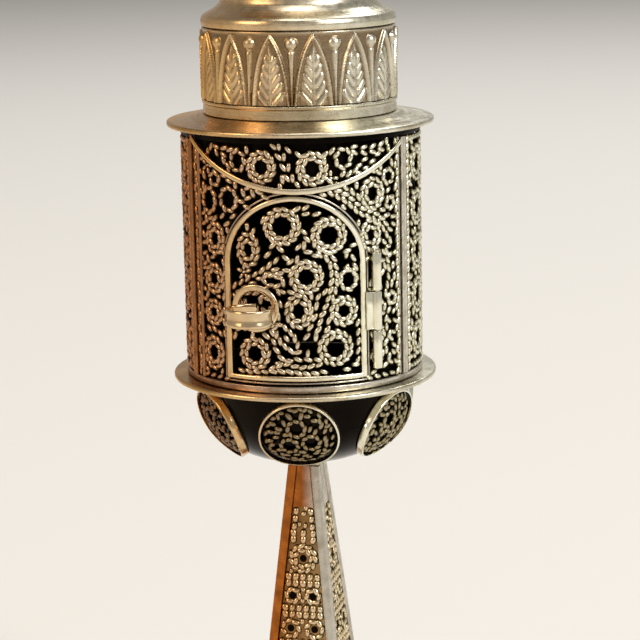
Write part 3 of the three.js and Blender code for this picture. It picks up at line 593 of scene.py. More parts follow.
def round_drum(points, turn=0.0):
    """Points (u, v, out) in millimetres, bent round the tower's axis."""
    p = np.asarray(points, float)
    angle = p[..., 0] / DRUM_RADIUS + turn
    away = DRUM_RADIUS + p[..., 2]
    return np.stack([away * np.sin(angle), -away * np.cos(angle), DRUM_FLOOR + p[..., 1]], -1)


def add_piece(mesh, name, node, body):
    """An object that rides a body and stands for a CAD node, if one is named: that node is hidden."""
    piece = bpy.data.objects.new(name, mesh)
    bpy.context.scene.collection.objects.link(piece)
    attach(piece, body)
    if node:
        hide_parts(node)
    return piece


def joined(name, meshes):
    """One mesh from several, which keeps their materials and attributes."""
    parts = [bpy.data.objects.new("part", mesh) for mesh in meshes]
    for part in parts:
        bpy.context.scene.collection.objects.link(part)
    with bpy.context.temp_override(active_object=parts[0], selected_editable_objects=parts,
                                   selected_objects=parts, object=parts[0]):
        bpy.ops.object.join()
    mesh = parts[0].data
    mesh.name = name
    bpy.data.objects.remove(parts[0])
    return mesh


# %% [markdown]
# ### Solid strips and turned sheets
# Plain pieces are lofts: a row of matching sections, joined by faces. A section is a rounded box
# for strip and wire, and a profile for what was spun on a lathe. Real edges are never sharp, so
# every corner has a small radius that catches the light.

# %% Lofts and sections
AXIS = 1e-6


def rounded_box(width, height, radius, steps=3):
    """A rounded rectangle round (0, 0), as rows of (a, b), turning anticlockwise."""
    rows = []
    for quarter in range(4):
        cx = (width / 2 - radius) * (1 if quarter in (0, 3) else -1)
        cy = (height / 2 - radius) * (1 if quarter in (0, 1) else -1)
        for i in range(steps + 1):
            a = quarter * math.pi / 2 + math.pi / 2 * i / steps
            rows.append((cx + radius * math.cos(a), cy + radius * math.sin(a)))
    return np.array(rows)


def loft_shape(sections, ring=False):
    """Points and faces through a row of matching closed sections, with end caps if it is open."""
    rows = np.asarray(sections, float)
    count, size = rows.shape[:2]
    faces = []
    for i in range(count if ring else count - 1):
        here, after = i * size, (i + 1) % count * size
        for j in range(size):
            k = (j + 1) % size
            faces.append((here + j, here + k, after + k, after + j))
    if not ring:
        faces.append(tuple(range(size))[::-1])
        faces.append(tuple(range((count - 1) * size, count * size)))
    return rows.reshape(-1, 3), faces


def solid_mesh(name, shapes, finish, sharp=40):
    """A mesh from closed shapes of (points, faces). Each shape is turned to face outwards."""
    points, faces = [], []
    for shape_points, shape_faces in shapes:
        p = np.asarray(shape_points, float)
        middle = p.mean(0)
        fans = np.array([(face[0], face[i], face[i + 1]) for face in shape_faces
                         for i in range(1, len(face) - 1)])
        a, b, c = (p[fans[:, i]] - middle for i in range(3))
        outward = (a * np.cross(b, c)).sum() > 0
        start = sum(len(rows) for rows in points)
        for face in shape_faces:
            moved = tuple(start + i for i in face)
            faces.append(moved if outward else moved[::-1])
        points.append(p)
    mesh = bpy.data.meshes.new(name)
    mesh.from_pydata([tuple(row) for row in np.vstack(points) * MM], [], faces)
    mesh.materials.append(finish)
    mesh.shade_smooth()
    mesh.set_sharp_from_angle(angle=math.radians(sharp))
    mesh.validate()
    return mesh


def turned_shape(profile, steps=192):
    """A closed profile of (radius, height) turned round the axis. Points on the axis become poles."""
    rows = np.asarray(profile, float)
    angles = np.linspace(0, FULL_TURN, steps, endpoint=False)
    points, starts = [], []
    for radius, height in rows:
        starts.append((len(points), radius > AXIS))
        for a in angles if radius > AXIS else angles[:1]:
            points.append((radius * math.sin(a), -radius * math.cos(a), height))
    faces = []
    for i in range(len(rows)):
        (here, wide), (after, wide_after) = starts[i], starts[(i + 1) % len(rows)]
        for j in range(steps):
            k = (j + 1) % steps
            if wide and wide_after:
                faces.append((here + j, here + k, after + k, after + j))
            elif wide:
                faces.append((here + j, here + k, after))
            elif wide_after:
                faces.append((here, after + k, after + j))
    return np.array(points), faces


def rounded(profile, radius, steps=4):
    """A profile with its corners rounded. Points on the axis stay sharp."""
    p = np.asarray(profile, float)
    rows = []
    for i, corner in enumerate(p):
        before, after = p[i - 1] - corner, p[(i + 1) % len(p)] - corner
        lb, la = np.linalg.norm(before), np.linalg.norm(after)
        if corner[0] < AXIS or min(lb, la) < AXIS:
            rows.append(corner)
            continue
        # Two roundings on one edge must not meet.
        reach = min(radius, lb / 2.05, la / 2.05)
        first, last = corner + before / lb * reach, corner + after / la * reach
        for t in np.linspace(0, 1, steps + 1):
            rows.append((1 - t) ** 2 * first + 2 * t * (1 - t) * corner + t**2 * last)
    return np.array(rows)


def lifted(profile, foot):
    """A profile of (radius, height above its foot), stood on a height."""
    return [(radius, foot + height) for radius, height in profile]


def plain_piece(name, shapes, finish, node=None, body="tower", sharp=40):
    return add_piece(solid_mesh(name, shapes, finish, sharp), name, node, body)


print("the drum is", round(DRUM_CEILING - DRUM_FLOOR, 2), "mm tall inside")

# %% [markdown]
# ## The drum's plain metal
# Two spun plates close the drum. Between them stand a bottom and a top ring, and plain posts that
# part the panels of lace. Each post has a shallow groove down its middle, where two strips were
# soldered side by side.

# %% Flanges and rings
RIM, CHAMBER, WALL_IN, SLACK = 24.5, 20.9, 21.0, 0.01


def tube(inner, outer, foot, top):
    """The profile of a plain tube."""
    return [(inner, foot), (outer, foot), (outer, top), (inner, top)]


lower_plate = [(0, LOWER_FOOT), (RIM, LOWER_FOOT), (RIM, DRUM_FLOOR), (CHAMBER, DRUM_FLOOR), (0, DRUM_FLOOR)]
upper_plate = lifted([(0, 0), (CHAMBER, 0), (RIM, 0), (RIM, 0.9), (23.2, 0.98), (20.6, 1.3), (19.0, 1.73)],
                     DRUM_CEILING)
upper_plate += [(17.9, UPPER_TOP), (0, UPPER_TOP)]
for name, profile in (("lower", lower_plate), ("upper", upper_plate)):
    mesh = plain_piece(name + "_plate", [turned_shape(rounded(profile, 0.4))], sheet_silver,
                       name + "_flange").data
    # The faces that close the chamber get the dull black finish: painted shade for the dark inside the drum.
    mesh.materials.append(painted_shade_black)
    for face in mesh.polygons:
        x, y, z = face.center / MM
        if math.hypot(x, y) < CHAMBER and DRUM_FLOOR - SLACK < z < DRUM_CEILING + SLACK:
            face.material_index = 1
# The ring under the upper plate gets the dull black finish: painted shade for the upper plate's shadow on it.
for name, finish in (("bottom", strip_silver), ("top", painted_shade_black)):
    ring = tube(WALL_IN, DRUM_RADIUS, *heights("drum_ring_" + name))
    plain_piece("wall_ring_" + name, [turned_shape(rounded(ring, 0.25))], finish, "drum_ring_" + name)

# %% Posts
PANEL_FOOT, PANEL_TOP = (round(v - DRUM_FLOOR, 3) for v in heights("drum_post_back"))
# Half of the section, from its back to the groove. The other half is its mirror image.
half_post = [(1.1, -0.8), (1.1, -0.45), (0.75, -0.4), (0.75, 0.3), (0.2, 0.3)]
post_section = [(-1.1, -0.8), *half_post, (0.0, -0.1), *[(-u, out) for u, out in half_post[:0:-1]]]
# The corners are rounded away from the axis, where they would stay sharp.
aside = np.array([5, 0])
post_section = rounded(aside + post_section, 0.2) - aside
for i, side in enumerate(("right", "back_right", "back", "back_left", "left")):
    flat = [[(u, v, out) for u, out in post_section] for v in (PANEL_FOOT, PANEL_TOP)]
    bent = round_drum(flat, math.radians(60 + 60 * i))
    plain_piece("post_" + side, [loft_shape(bent)], strip_silver, "drum_post_" + side)
print("posts from", PANEL_FOOT, "to", PANEL_TOP, "mm above the drum's floor")

# %% [markdown]
# ## The swag
# A plain strip hangs in a shallow curve from the drum's top edge to the top of the door, and parts
# the lace above from the lace beside the door.

# %% Swag
SWAG_SPAN, SWAG_LOW, SWAG_RISE, SWAG_ASIDE, SWAG_OUT = math.radians(112), 36.5, 8.0, 0.8, 0.45
SWAG_HALF = DRUM_RADIUS * SWAG_SPAN / 2


def swag_height(u):
    """The swag's middle line above the drum's floor. It is lowest a little to the right."""
    return SWAG_LOW + SWAG_RISE * ((u - SWAG_ASIDE) / DRUM_RADIUS / (SWAG_SPAN / 2)) ** 2


swag_box = rounded_box(1.0, 0.6, 0.22)
swag_rows = [[(u, swag_height(u) + a, SWAG_OUT + b) for a, b in swag_box]
             for u in np.linspace(-SWAG_HALF, SWAG_HALF, 97)]
plain_piece("swag_strip", [loft_shape(round_drum(swag_rows))], arch_silver, "swag_arc")

# %% [markdown]
# ## The door
# The door's frame is a heavy half-round wire, bent to an arch with a straight foot. Its outline is
# flat from the front, so the width across is turned into an arc on the drum first.

# %% Door frame
DOOR_HALF = DRUM_RADIUS * math.sin(13.2 / DRUM_RADIUS)
DOOR_FOOT, DOOR_SPRING, DOOR_TOP = 2.4, 23.5, 35.7
FOOT_STEPS, SIDE_STEPS, ARCH_STEPS = 24, 8, 64
ARCH_WIDE, ARCH_DEEP, ARCH_OUT = 0.95, 1.3, -0.15


def door_outline(inset):
    """The door's edge, moved inwards, as rows of (u, v). It starts at the left foot."""
    half, foot = DOOR_HALF - inset, DOOR_FOOT + inset
    rise = DOOR_TOP - DOOR_SPRING - inset
    rows = [(x, foot) for x in np.linspace(-half, half, FOOT_STEPS, endpoint=False)]
    rows += [(half, z) for z in np.linspace(foot, DOOR_SPRING, SIDE_STEPS, endpoint=False)]
    for a in np.linspace(0, math.pi, ARCH_STEPS, endpoint=False):
        rows.append((half * math.cos(a), DOOR_SPRING + rise * math.sin(a)))
    rows += [(-half, z) for z in np.linspace(DOOR_SPRING, foot, SIDE_STEPS, endpoint=False)]
    return np.array([(DRUM_RADIUS * math.asin(x / DRUM_RADIUS), z) for x, z in rows])


def door_edging(section, inset, out):
    """A strip that follows the door's outline all the way round."""
    rows = []
    for a, b in section:
        edge = door_outline(inset + a)
        rows.append(np.column_stack([edge, np.full(len(edge), out + b)]))
    return loft_shape(round_drum(np.array(rows).transpose(1, 0, 2)), ring=True)


arch = door_edging(rounded_box(ARCH_WIDE, ARCH_DEEP, 0.34, 4), ARCH_WIDE / 2, ARCH_OUT)
plain_piece("door_arch", [arch], arch_silver, "door_frame", body="door")
print("door arch is", round(2 * DOOR_HALF, 1), "mm wide seen from the front")

# %% [markdown]
# ### The door's lace
# The rings, loops and chains of the door are drawn one by one, where the photograph has them: each
# row gives the middle of a ring, the radii of its ropes and how tall it is for its width.

# %% Door lace
door_rings = [
    (-2.0, 30.3, (3.05, 2.15), 1.0), (6.4, 28.5, (2.95, 2.05), 1.0), (-8.5, 25.9, (1.95, 1.15), 1.45),
    (2.2, 21.2, (2.75, 1.85), 1.0), (0.7, 15.1, (2.2, 1.4), 1.3), (8.95, 14.8, (2.3, 1.45), 1.06),
    (7.3, 8.2, (2.95, 2.05), 1.0), (-7.6, 7.2, (2.65, 1.75), 1.0), (9.9, 20.4, (1.5,), 1.2),
]
door_curls = [
    *curls([(-11.4, 19.3), (-8.8, 20.7), (-5.8, 22.4), (-3.2, 24.2)],
           [(-10.6, 18.3), (-8.2, 19.7), (-5.6, 21.3), (-3.4, 22.6)]),
    leaf_loop(-3.9, 20.6, 3.9, 1.9, -0.2),
    *curls([(0.9, 26.6), (0.4, 25.3), (-0.6, 24.0)],
           [(1.9, 26.9), (1.5, 25.6), (0.6, 24.4)],
           [(4.6, 25.2), (6.0, 24.3), (6.7, 22.4), (6.6, 19.2), (5.9, 16.6), (4.9, 14.2), (4.1, 11.6)],
           [(5.0, 26.1), (6.9, 24.9), (7.6, 22.6), (7.6, 19.4), (6.9, 17.2)],
           [(9.6, 24.9), (9.9, 23.4), (9.7, 22.4)],
           [(10.9, 24.2), (11.3, 22.6), (11.5, 20.8)]),
    leaf_loop(-1.6, 10.2, 6.4, 2.5, math.radians(-52)),
    *curls([(-4.2, 12.8), (-4.1, 10.4), (-3.6, 8.3), (-2.6, 6.6)],
           [(-3.0, 5.6), (-0.4, 6.3), (2.2, 6.3), (4.0, 6.2)],
           [(-4.4, 4.7), (-1.6, 5.5), (0.8, 4.9), (4.2, 5.3)],
           [(-10.4, 3.9), (-6.8, 3.9), (-2.2, 4.2), (2.0, 3.7), (5.0, 4.0)],
           [(2.2, 7.4), (2.9, 9.0), (3.7, 10.4)],
           [(-11.6, 10.2), (-11.5, 12.4), (-11.3, 14.4)],
           [(-2.9, 18.6), (-2.6, 16.4), (-3.0, 14.2)],
           [(3.0, 17.9), (3.9, 16.0), (3.5, 13.9)],
           [(-5.4, 31.4), (-6.9, 30.6), (-7.4, 29.2)],
           [(11.6, 12.4), (11.7, 9.2), (11.5, 5.6)]),
]
door_grains = flower_grains(-9.4, 21.9, 0.95, 5, 0.3) + [(-1.6, 10.2, -0.9, 1.0)]
print("door:", len(door_rings), "rings and", len(door_curls), "curls drawn")

# %% [markdown]
# ### Filling the gaps
# Between the drawn rings a worker drops in whatever fits: a small ring, a flower, a grain. The
# packer does the same. It throws points at the region, keeps the one with the most room round it,
# and puts the largest ring there that fits. The seed is fixed, so the lace is the same each time.

# %% Packing rings
THROWS, TINY = 900, 1e-12


def edge_room(outline):
    """A function that gives how far a point is inside a closed outline (negative outside)."""
    edge = np.array(outline, float)
    after = np.roll(edge, -1, 0)

    def room(points):
        run = after - edge
        rel = points[:, None, :] - edge[None]
        t = np.clip((rel * run).sum(2) / ((run**2).sum(1) + TINY), 0, 1)
        away = np.linalg.norm(rel - t[..., None] * run, axis=2).min(1)
        crosses = (edge[None, :, 1] > points[:, None, 1]) != (after[None, :, 1] > points[:, None, 1])
        at = edge[:, 0] + (points[:, None, 1] - edge[:, 1]) / (run[:, 1] + TINY) * run[:, 0]
        inside = (crosses & (points[:, None, 0] < at)).sum(1) % 2 == 1
        return np.where(inside, away, -away)

    return room


def pack_rings(room, low, high, taken, largest, smallest, seed, touch=0.0, most=400):
    """Rings (u, v, outer radius) that fill a region round those that are taken already."""
    chance = np.random.default_rng(seed)
    rings = list(taken)
    while len(rings) < len(taken) + most:
        points = chance.uniform(low, high, (THROWS, 2))
        clear = room(points)
        for u, v, radius in rings:
            clear = np.minimum(clear, np.hypot(points[:, 0] - u, points[:, 1] - v) - radius + touch)
        cap = largest * chance.uniform(0.8, 1.0)
        best = int(np.argmax(np.minimum(clear, cap)))
        if clear[best] < smallest:
            break
        rings.append((points[best, 0], points[best, 1], float(min(clear[best], cap))))
    return rings[len(taken) :]


# %% Dressing rings
# How far a ring's ropes lie inside its edge.
ROPE_IN, SECOND_IN = 0.5, 1.5
# The radii from which a packed ring gets a flower, two ropes, one rope or a curl.
FLOWER_FROM, TWO_FROM, ONE_FROM, CURL_FROM = 3.6, 2.3, 1.35, 0.85
# What a drawn ring, a point of a drawn line and a grain keep free round them.
RING_ROOM, LINE_ROOM, GRAIN_ROOM = 0.55, 0.5, 0.6


def dress_rings(rings, chance):
    """Ropes and grains for packed rings: large ones get ropes, small ones a few grains or one."""
    lines, grains = [], []
    for u, v, radius in rings:
        lean = chance.uniform(0, math.pi)
        if radius > TWO_FROM:
            radii = (radius - ROPE_IN, radius - SECOND_IN)
            lines += rope_ring(u, v, radii, chance.uniform(0.95, 1.08), lean)
            if radius > FLOWER_FROM:
                grains += flower_grains(u, v, 0.7, 3, lean)
        elif radius > ONE_FROM:
            lines += rope_ring(u, v, (radius - ROPE_IN,))
        elif radius > CURL_FROM:
            # A short curl of two or three grains.
            along = radius * np.array([-0.8, 0, 0.8])
            across = 0.25 * radius * (1 - 2 * (along / radius) ** 2)
            lines += curls(leant_line(u, v, along, across, lean)[0])
        else:
            grains.append((u, v, lean, 0.35 + 0.85 * radius))
    return lines, grains


def ring_lines(rings):
    """The ropes of drawn rings."""
    return [line for u, v, radii, tall in rings for line in rope_ring(u, v, radii, tall)]


def drawn_room(rings, lines, grains):
    """What drawn rings, lines and grains take up, as rings (u, v, radius)."""
    taken = [(u, v, max(radii) * (1 + tall) / 2 + RING_ROOM) for u, v, radii, tall in rings]
    taken += [(u, v, LINE_ROOM) for points, _ in lines for u, v in points]
    return taken + [(u, v, GRAIN_ROOM) for u, v, _, _ in grains]


def lace_piece(name, lines, grains, node, bend, body="tower", out=-0.35, sizes=ROPE_SIZES,
               finish=wire_silver):
    """Wires and grains, bent into place as one piece."""
    mesh = joined(name, [wire_mesh(lines, sizes, finish), grain_mesh(grains, finish=finish)])
    set_points(mesh, bend(get_points(mesh) + (0, 0, out)))
    return add_piece(mesh, name, node, body)


door_fill = pack_rings(edge_room(door_outline(1.0)), (-13, 3), (13, 36),
                       drawn_room(door_rings, door_curls, door_grains), 1.3, 0.68, seed=5, touch=0.1,
                       most=26)
more_lines, more_grains = dress_rings(door_fill, np.random.default_rng(6))
lace = lace_piece("door_lace", ring_lines(door_rings) + door_curls + more_lines, door_grains + more_grains,
                  "door_filigree", round_drum, body="door")
print("door lace:", len(door_fill), "packed rings,", len(lace.data.polygons), "faces")

# %% [markdown]
# ## The lace round the door
# The front panel reaches over a third of the drum. Its rings stand in columns beside the door,
# ropes follow the arch on the right, and a second field of lace lies above the swag. The rings
# that the photograph shows are drawn where they are, and the packer fills the rest.

# %% Lace of the front panel
LACE_FOOT, LACE_TOP, FRONT_HALF = 1.6, 44.5, 22.0
LARGEST, SMALLEST_RING, TOUCH = 2.0, 0.62, 0.1


def lace_room(half):
    """The room inside a panel of lace."""
    return edge_room([(-half, LACE_FOOT), (half, LACE_FOOT), (half, LACE_TOP), (-half, LACE_TOP)])


front_room, door_room = lace_room(FRONT_HALF + TOUCH), edge_room(door_outline(-0.35))


def front_field(points):
    """How far a point is inside the front panel and outside the door."""
    return np.minimum(front_room(points), -door_room(points))


front_rings = [
    (15.1, 35.3, (2.3, 1.45), 1.15), (14.6, 27.9, (1.9, 1.1), 1.4), (-16.4, 20.1, (2.15, 1.3), 1.15),
    (-16.7, 13.9, (2.1, 1.25), 1.0), (-17.0, 6.4, (2.45, 1.55), 1.15), (3.6, 40.4, (2.5, 1.65), 1.1),
    (-5.6, 40.7, (2.4, 1.55), 1.1), (9.3, 42.0, (1.4,), 1.2), (-10.2, 41.7, (1.35,), 1.3),
    (-15.9, 27.4, (2.15, 1.3), 1.25), (-12.4, 34.7, (1.75,), 1.15), (-17.3, 34.2, (1.7,), 1.3),
]
front_curls = []
# Three ropes follow the arch on the right. The third ends halfway down.
for away, count in ((0, 5), (1, 5), (2, 3)):
    arch = [(6.8, 36.0 + away), (9.6 + away / 3, 34.4 + away), (12.6 + away / 3, 31.9 + away),
            (16.2 + away / 3, 30.2 + away), (19.2, 26.4 + 2 * away)]
    front_curls += curls(arch[:count])
# A wavy rope runs up each side.
for u in (-21.3, 21.2):
    front_curls += curls([(u + 0.35 * math.sin(1.7 * v), v) for v in np.linspace(2.2, 43.8, 22)])
# Two ropes side by side, the second a millimetre across or down.
for row, step in (([(-3.2, 44.4), (-1.9, 41.6), (-0.9, 38.8)], (1, 0)),
                  ([(11.4, 43.9), (14.2, 43.6), (17.2, 43.9)], (0, -1)),
                  ([(-14.9, 43.9), (-13.0, 42.4), (-12.2, 40.7)], (0, -1))):
    front_curls += curls(row, np.array(row) + step)
for v in (10.2, 17.0, 23.2):
    front_curls += curls([(-13.9, v), (-14.0, v + 2.2), (-13.8, v + 4.2)])
front_curls += curls([(17.6, 3.9), (18.6, 5.4), (17.5, 7.4), (18.7, 9.4), (17.7, 11.6), (18.6, 13.8)],
                     [(17.9, 17.0), (18.7, 20.5), (18.3, 24.4)],
                     [(12.2, 39.2), (14.3, 40.3), (16.4, 42.2)],
                     [(-19.2, 2.1), (-16.4, 2.1), (-13.6, 2.1)],
                     [(13.8, 2.1), (16.6, 2.1), (19.4, 2.1)])
front_grains = flower_grains(-17.6, 40.4, 1.0, 5) + flower_grains(6.9, 38.6, 0.9, 4)

taken = drawn_room(front_rings, front_curls, front_grains)
taken += [(u, swag_height(u), 0.4) for u in np.arange(-21.6, 21.7, 0.4)]
front_fill = pack_rings(front_field, (-FRONT_HALF, LACE_FOOT), (FRONT_HALF, LACE_TOP), taken, LARGEST,
                        SMALLEST_RING, seed=11, touch=TOUCH)
more_lines, more_grains = dress_rings(front_fill, np.random.default_rng(12))
lace = lace_piece("front_lace", ring_lines(front_rings) + front_curls + more_lines,
                  front_grains + more_grains, "drum_panel_front", round_drum)
# A thin strip stands on edge where two pieces of lace meet, a little inside the left post.
strip_box = rounded_box(0.7, 0.7, 0.2)
strip_rows = [[(-19.9 + a, v, -0.1 + b) for a, b in strip_box] for v in (1.6, 23.0, 44.0)]
plain_piece("lace_strip_left", [loft_shape(round_drum(strip_rows))], strip_silver)
print("front lace:", len(front_fill), "packed rings,", len(lace.data.polygons), "faces")

# %% [markdown]
# ### The edge round the doorway
# A plain strip on edge lines the doorway, so that the lace has something to be soldered to. It is
# hidden behind the door's arch from the front, and shows when the door stands open.

# %% Doorway strip
plain_piece("doorway_strip", [door_edging(rounded_box(0.3, 0.6, 0.12, 2), -0.5, -0.45)], strip_silver)

# %% [markdown]
# ## The four side panels
# The sides and the back can't be seen in the photograph. They carry the same kind of lace: an
# edge of rope, and rings packed from large to small. Each panel has its own seed, as no two are
# alike in hand work.

# %% Side panels
SIDE_HALF = 10.2
side_room = lace_room(SIDE_HALF)
border = curls(*[[(u, 2.2), (u, 23), (u, 43.9)] for u in (-9.65, 9.65)],
               *[[(-8.6, v), (0, v), (8.6, v)] for v in (2.15, 43.95)])
large = [(u, 6.8 + 8.1 * row, 3.55) for u in (-4.9, 4.9) for row in range(5)]
for i, side in enumerate(("right", "back_right", "back_left", "left")):
    fill = pack_rings(side_room, (-SIDE_HALF, LACE_FOOT), (SIDE_HALF, LACE_TOP),
                      drawn_room([], border, []) + large, LARGEST, SMALLEST_RING, seed=21 + i, touch=TOUCH)
    lines, grains = dress_rings(large + fill, np.random.default_rng(31 + i))
    lace_piece("lace_" + side, border + lines, grains, "drum_panel_" + side,
               lambda points, turn=math.radians(90 + 60 * i): round_drum(points, turn))
print("side lace rings:", len(large) + len(fill), "on the last panel")

# %% [markdown]
# ## The hinge and the pull
# Three rolled barrels share a pin. The middle one is on the door, and each has a flat leaf that is
# soldered down. The pull is a flat ring on the door with a band of strip bent into a loop, whose
# two edges are rolled over.

# %% Hinge
PIN_AWAY, PIN_ANGLE, PIN_RADIUS, PIN_HEAD = 23.0, 14.9 / DRUM_RADIUS, 0.35, 0.6
BARREL_IN, BARREL_OUT = 0.45, 0.85
# A leaf lies from one u to another, and between two distances out of the drum.
WALL_LEAF, DOOR_LEAF = (14.9, 16.2, 0.15, 0.5), (12.9, 14.9, 0.65, 1.0)
pin_place = np.array([PIN_AWAY * math.sin(PIN_ANGLE), -PIN_AWAY * math.cos(PIN_ANGLE), 0])


def round_pin(profile, steps):
    """A profile turned round the hinge's pin."""
    points, faces = turned_shape(profile, steps)
    return points + pin_place, faces


def hinge_leaf(v0, v1, u0, u1, out0, out1):
    """A strip that lies on the drum, its long edges upright."""
    box = rounded_box(v1 - v0, out1 - out0, 0.15, 2)
    rows = [[(u, (v0 + v1) / 2 + a, (out0 + out1) / 2 + b) for a, b in box]
            for u in np.linspace(u0, u1, 9)]
    return loft_shape(round_drum(rows))


for name, body, leaf in (("hinge_knuckle_bottom", "tower", WALL_LEAF), ("door_knuckle", "door", DOOR_LEAF),
                         ("hinge_knuckle_top", "tower", WALL_LEAF)):
    foot, top = heights(name)
    barrel = round_pin(rounded(tube(BARREL_IN, BARREL_OUT, foot, top), 0.12, 2), 40)
    shapes = [barrel, hinge_leaf(foot - DRUM_FLOOR, top - DRUM_FLOOR, *leaf)]
    plain_piece("barrel_" + name, shapes, arch_silver, name, body=body)
foot, top = heights("hinge_pin")
pin = [(0, foot), (PIN_RADIUS, foot), (PIN_RADIUS, top - 0.3), (PIN_HEAD, top - 0.3), (PIN_HEAD, top - 0.05),
       (0.3, top), (0, top)]
plain_piece("pin", [round_pin(pin, 32)], strip_silver, "hinge_pin")
print("pin at", pin_place.round(2)[:2], "mm")

# %% Pull
EYE_MIDDLE, EYE_RADIUS, EYE_OUT = (-6.9, 15.7), 3.7, 0.9
LOOP_WIDE, LOOP_DEEP, LOOP_AWAY, LOOP_SHARE = 3.9, 3.5, 27.075, 0.86
LOOP_TURN, LOOP_UP = -6.3 / DRUM_RADIUS, sum(heights("pull_band")) / 2
EDGE_ROLL, EDGE_UP = 0.33, 1.27


def hoop_rows(middle, radius, out, section, steps):
    """The sections of a flat ring."""
    u, v = middle
    return [[(u + (radius + a) * math.cos(t), v + (radius + a) * math.sin(t), out + b) for a, b in section]
            for t in np.linspace(0, FULL_TURN, steps, endpoint=False)]


eye_rows = hoop_rows(EYE_MIDDLE, EYE_RADIUS, EYE_OUT, rounded_box(1.2, 0.5, 0.22), 72)
plain_piece("pull_ring", [loft_shape(round_drum(eye_rows), ring=True)], arch_silver, "pull_eye",
            "door")

# The band's section is thin in the middle, with a rolled rim above. Its other half is turned about.
half_band = [(EDGE_ROLL * math.cos(a), EDGE_UP + EDGE_ROLL * math.sin(a))
             for a in np.linspace(0, math.pi, 9)]
half_band += [(-EDGE_ROLL, 0.95), (-0.14, 0.62), (-0.1, 0.0), (-0.14, -0.62), (-EDGE_ROLL, -0.95)]
band_section = half_band + [(-a, -b) for a, b in half_band]
band_rows = []
for t in np.linspace(math.pi / 2, math.pi / 2 + FULL_TURN * LOOP_SHARE, 81):
    x, y = LOOP_WIDE * math.cos(t), LOOP_DEEP * math.sin(t)
    run = Vector((-LOOP_WIDE * math.sin(t), LOOP_DEEP * math.cos(t))).normalized()
    band_rows.append([(x - run.y * a, y + run.x * a - LOOP_AWAY, LOOP_UP + b) for a, b in band_section])
plain_piece("pull_loop", [loft_shape(turned_by(band_rows, LOOP_TURN))], arch_silver, "pull_band",
            "door", 60)
print("pull loop stands out", round(LOOP_AWAY + LOOP_DEEP - DRUM_RADIUS, 2), "mm from the drum")

# %% [markdown]
# ## The lining
# A thin sheet stands just inside the lace, so that no spice falls out. Its dull black is painted shade: it
# makes every gap in the lace show black, as the dark inside of the drum does. It has the same doorway as the
# wall, so it is made
# in three parts: the wall behind, the part above the doorway, and the sill below it.

# %% Lining
LINING_OUT, LINING_IN, WAY_CLEAR = 20.85, 20.45, 0.3
LINING_FOOT, LINING_TOP = heights("chamber_lining")
WAY_HALF, WAY_FOOT = DOOR_HALF + WAY_CLEAR, DOOR_FOOT - WAY_CLEAR
WAY_RISE = DOOR_TOP + WAY_CLEAR - DOOR_SPRING


def doorway_top(angle):
    """The height of the doorway's upper edge at an angle round the tower."""
    across = LINING_OUT * math.sin(angle) / WAY_HALF
    return DRUM_FLOOR + DOOR_SPRING + WAY_RISE * math.sqrt(max(0.0, 1 - across**2))


def lining_part(angles, foot=lambda a: LINING_FOOT, top=lambda a: LINING_TOP):
    """A wall of the lining. Its foot and top are functions of the angle."""
    return loft_shape([[(r * math.sin(a), -r * math.cos(a), z)
                        for r, z in tube(LINING_IN, LINING_OUT, foot(a), top(a))] for a in angles])


way_edge = math.asin(WAY_HALF / LINING_OUT)
front_angles = np.linspace(-way_edge, way_edge, 81)
lining = [lining_part(np.linspace(way_edge, FULL_TURN - way_edge, 241)),
          lining_part(front_angles, foot=doorway_top),
          lining_part(front_angles, top=lambda a: DRUM_FLOOR + WAY_FOOT)]
plain_piece("chamber_sheet", lining, painted_shade_black, "chamber_lining")
print("the doorway is", round(math.degrees(2 * way_edge)), "degrees wide")

# %% [markdown]
# ## The bowl
# The bowl under the drum was raised from one sheet and has turned black. Its section is a
# superellipse: rounder than a half ball at its side, and flatter below. The wall is made from the
# same curve inside and outside.

# %% Bowl
BOWL_FOOT, BOWL_TOP = heights("bowl")
BOWL_RADIUS, BOWL_DEPTH, BOWL_WALL, BOWL_HOLE = 19.5, BOWL_TOP - BOWL_FOOT, 0.7, 1.9
# The outline's exponent: 2 would be an ellipse.
BOWL_POWER, HOLE_CLEAR = 2.6, 0.3


def bowl_curve(grow):
    """The bowl's outline, moved outwards, as (radius, height) from the rim down to its hole."""
    rows = []
    for t in np.linspace(0, math.pi / 2, 40):
        c, s = max(math.cos(t), 0.0) ** (2 / BOWL_POWER), math.sin(t) ** (2 / BOWL_POWER)
        rows.append(((BOWL_RADIUS + grow) * c, BOWL_TOP - (BOWL_DEPTH + grow) * s))
    rows = [row for row in rows if row[0] > BOWL_HOLE + HOLE_CLEAR]
    return rows + [(BOWL_HOLE, rows[-1][1])]


profile = bowl_curve(0) + bowl_curve(-BOWL_WALL)[::-1]
plain_piece("round_bowl", [turned_shape(profile)], black_silver, "bowl")
print("bowl outline points:", len(profile))

# %% [markdown]
# ### Roundels
# Six discs of filigree lie on the bowl, each in a frame of strip set on edge. They are drawn flat
# and then pressed on the bowl: each point slides along the disc's own direction until it meets the
# bowl's surface. That needs no formula, only a search by halving.

# %% Pressing on the bowl
ROUNDEL_DROP = 8.0
FARTHEST_IN, FARTHEST_OUT, HALVINGS = -12.0, 4.0, 40
drop = ROUNDEL_DROP / BOWL_DEPTH
reach = (1 - drop**BOWL_POWER) ** (1 / BOWL_POWER)
slope = math.atan2(drop ** (BOWL_POWER - 1) / BOWL_DEPTH, reach ** (BOWL_POWER - 1) / BOWL_RADIUS)
disc_out = np.array([0, -math.cos(slope), -math.sin(slope)])
disc_up = np.array([0, -math.sin(slope), math.cos(slope)])
disc_middle = np.array([0, -reach * BOWL_RADIUS, BOWL_TOP - ROUNDEL_DROP])


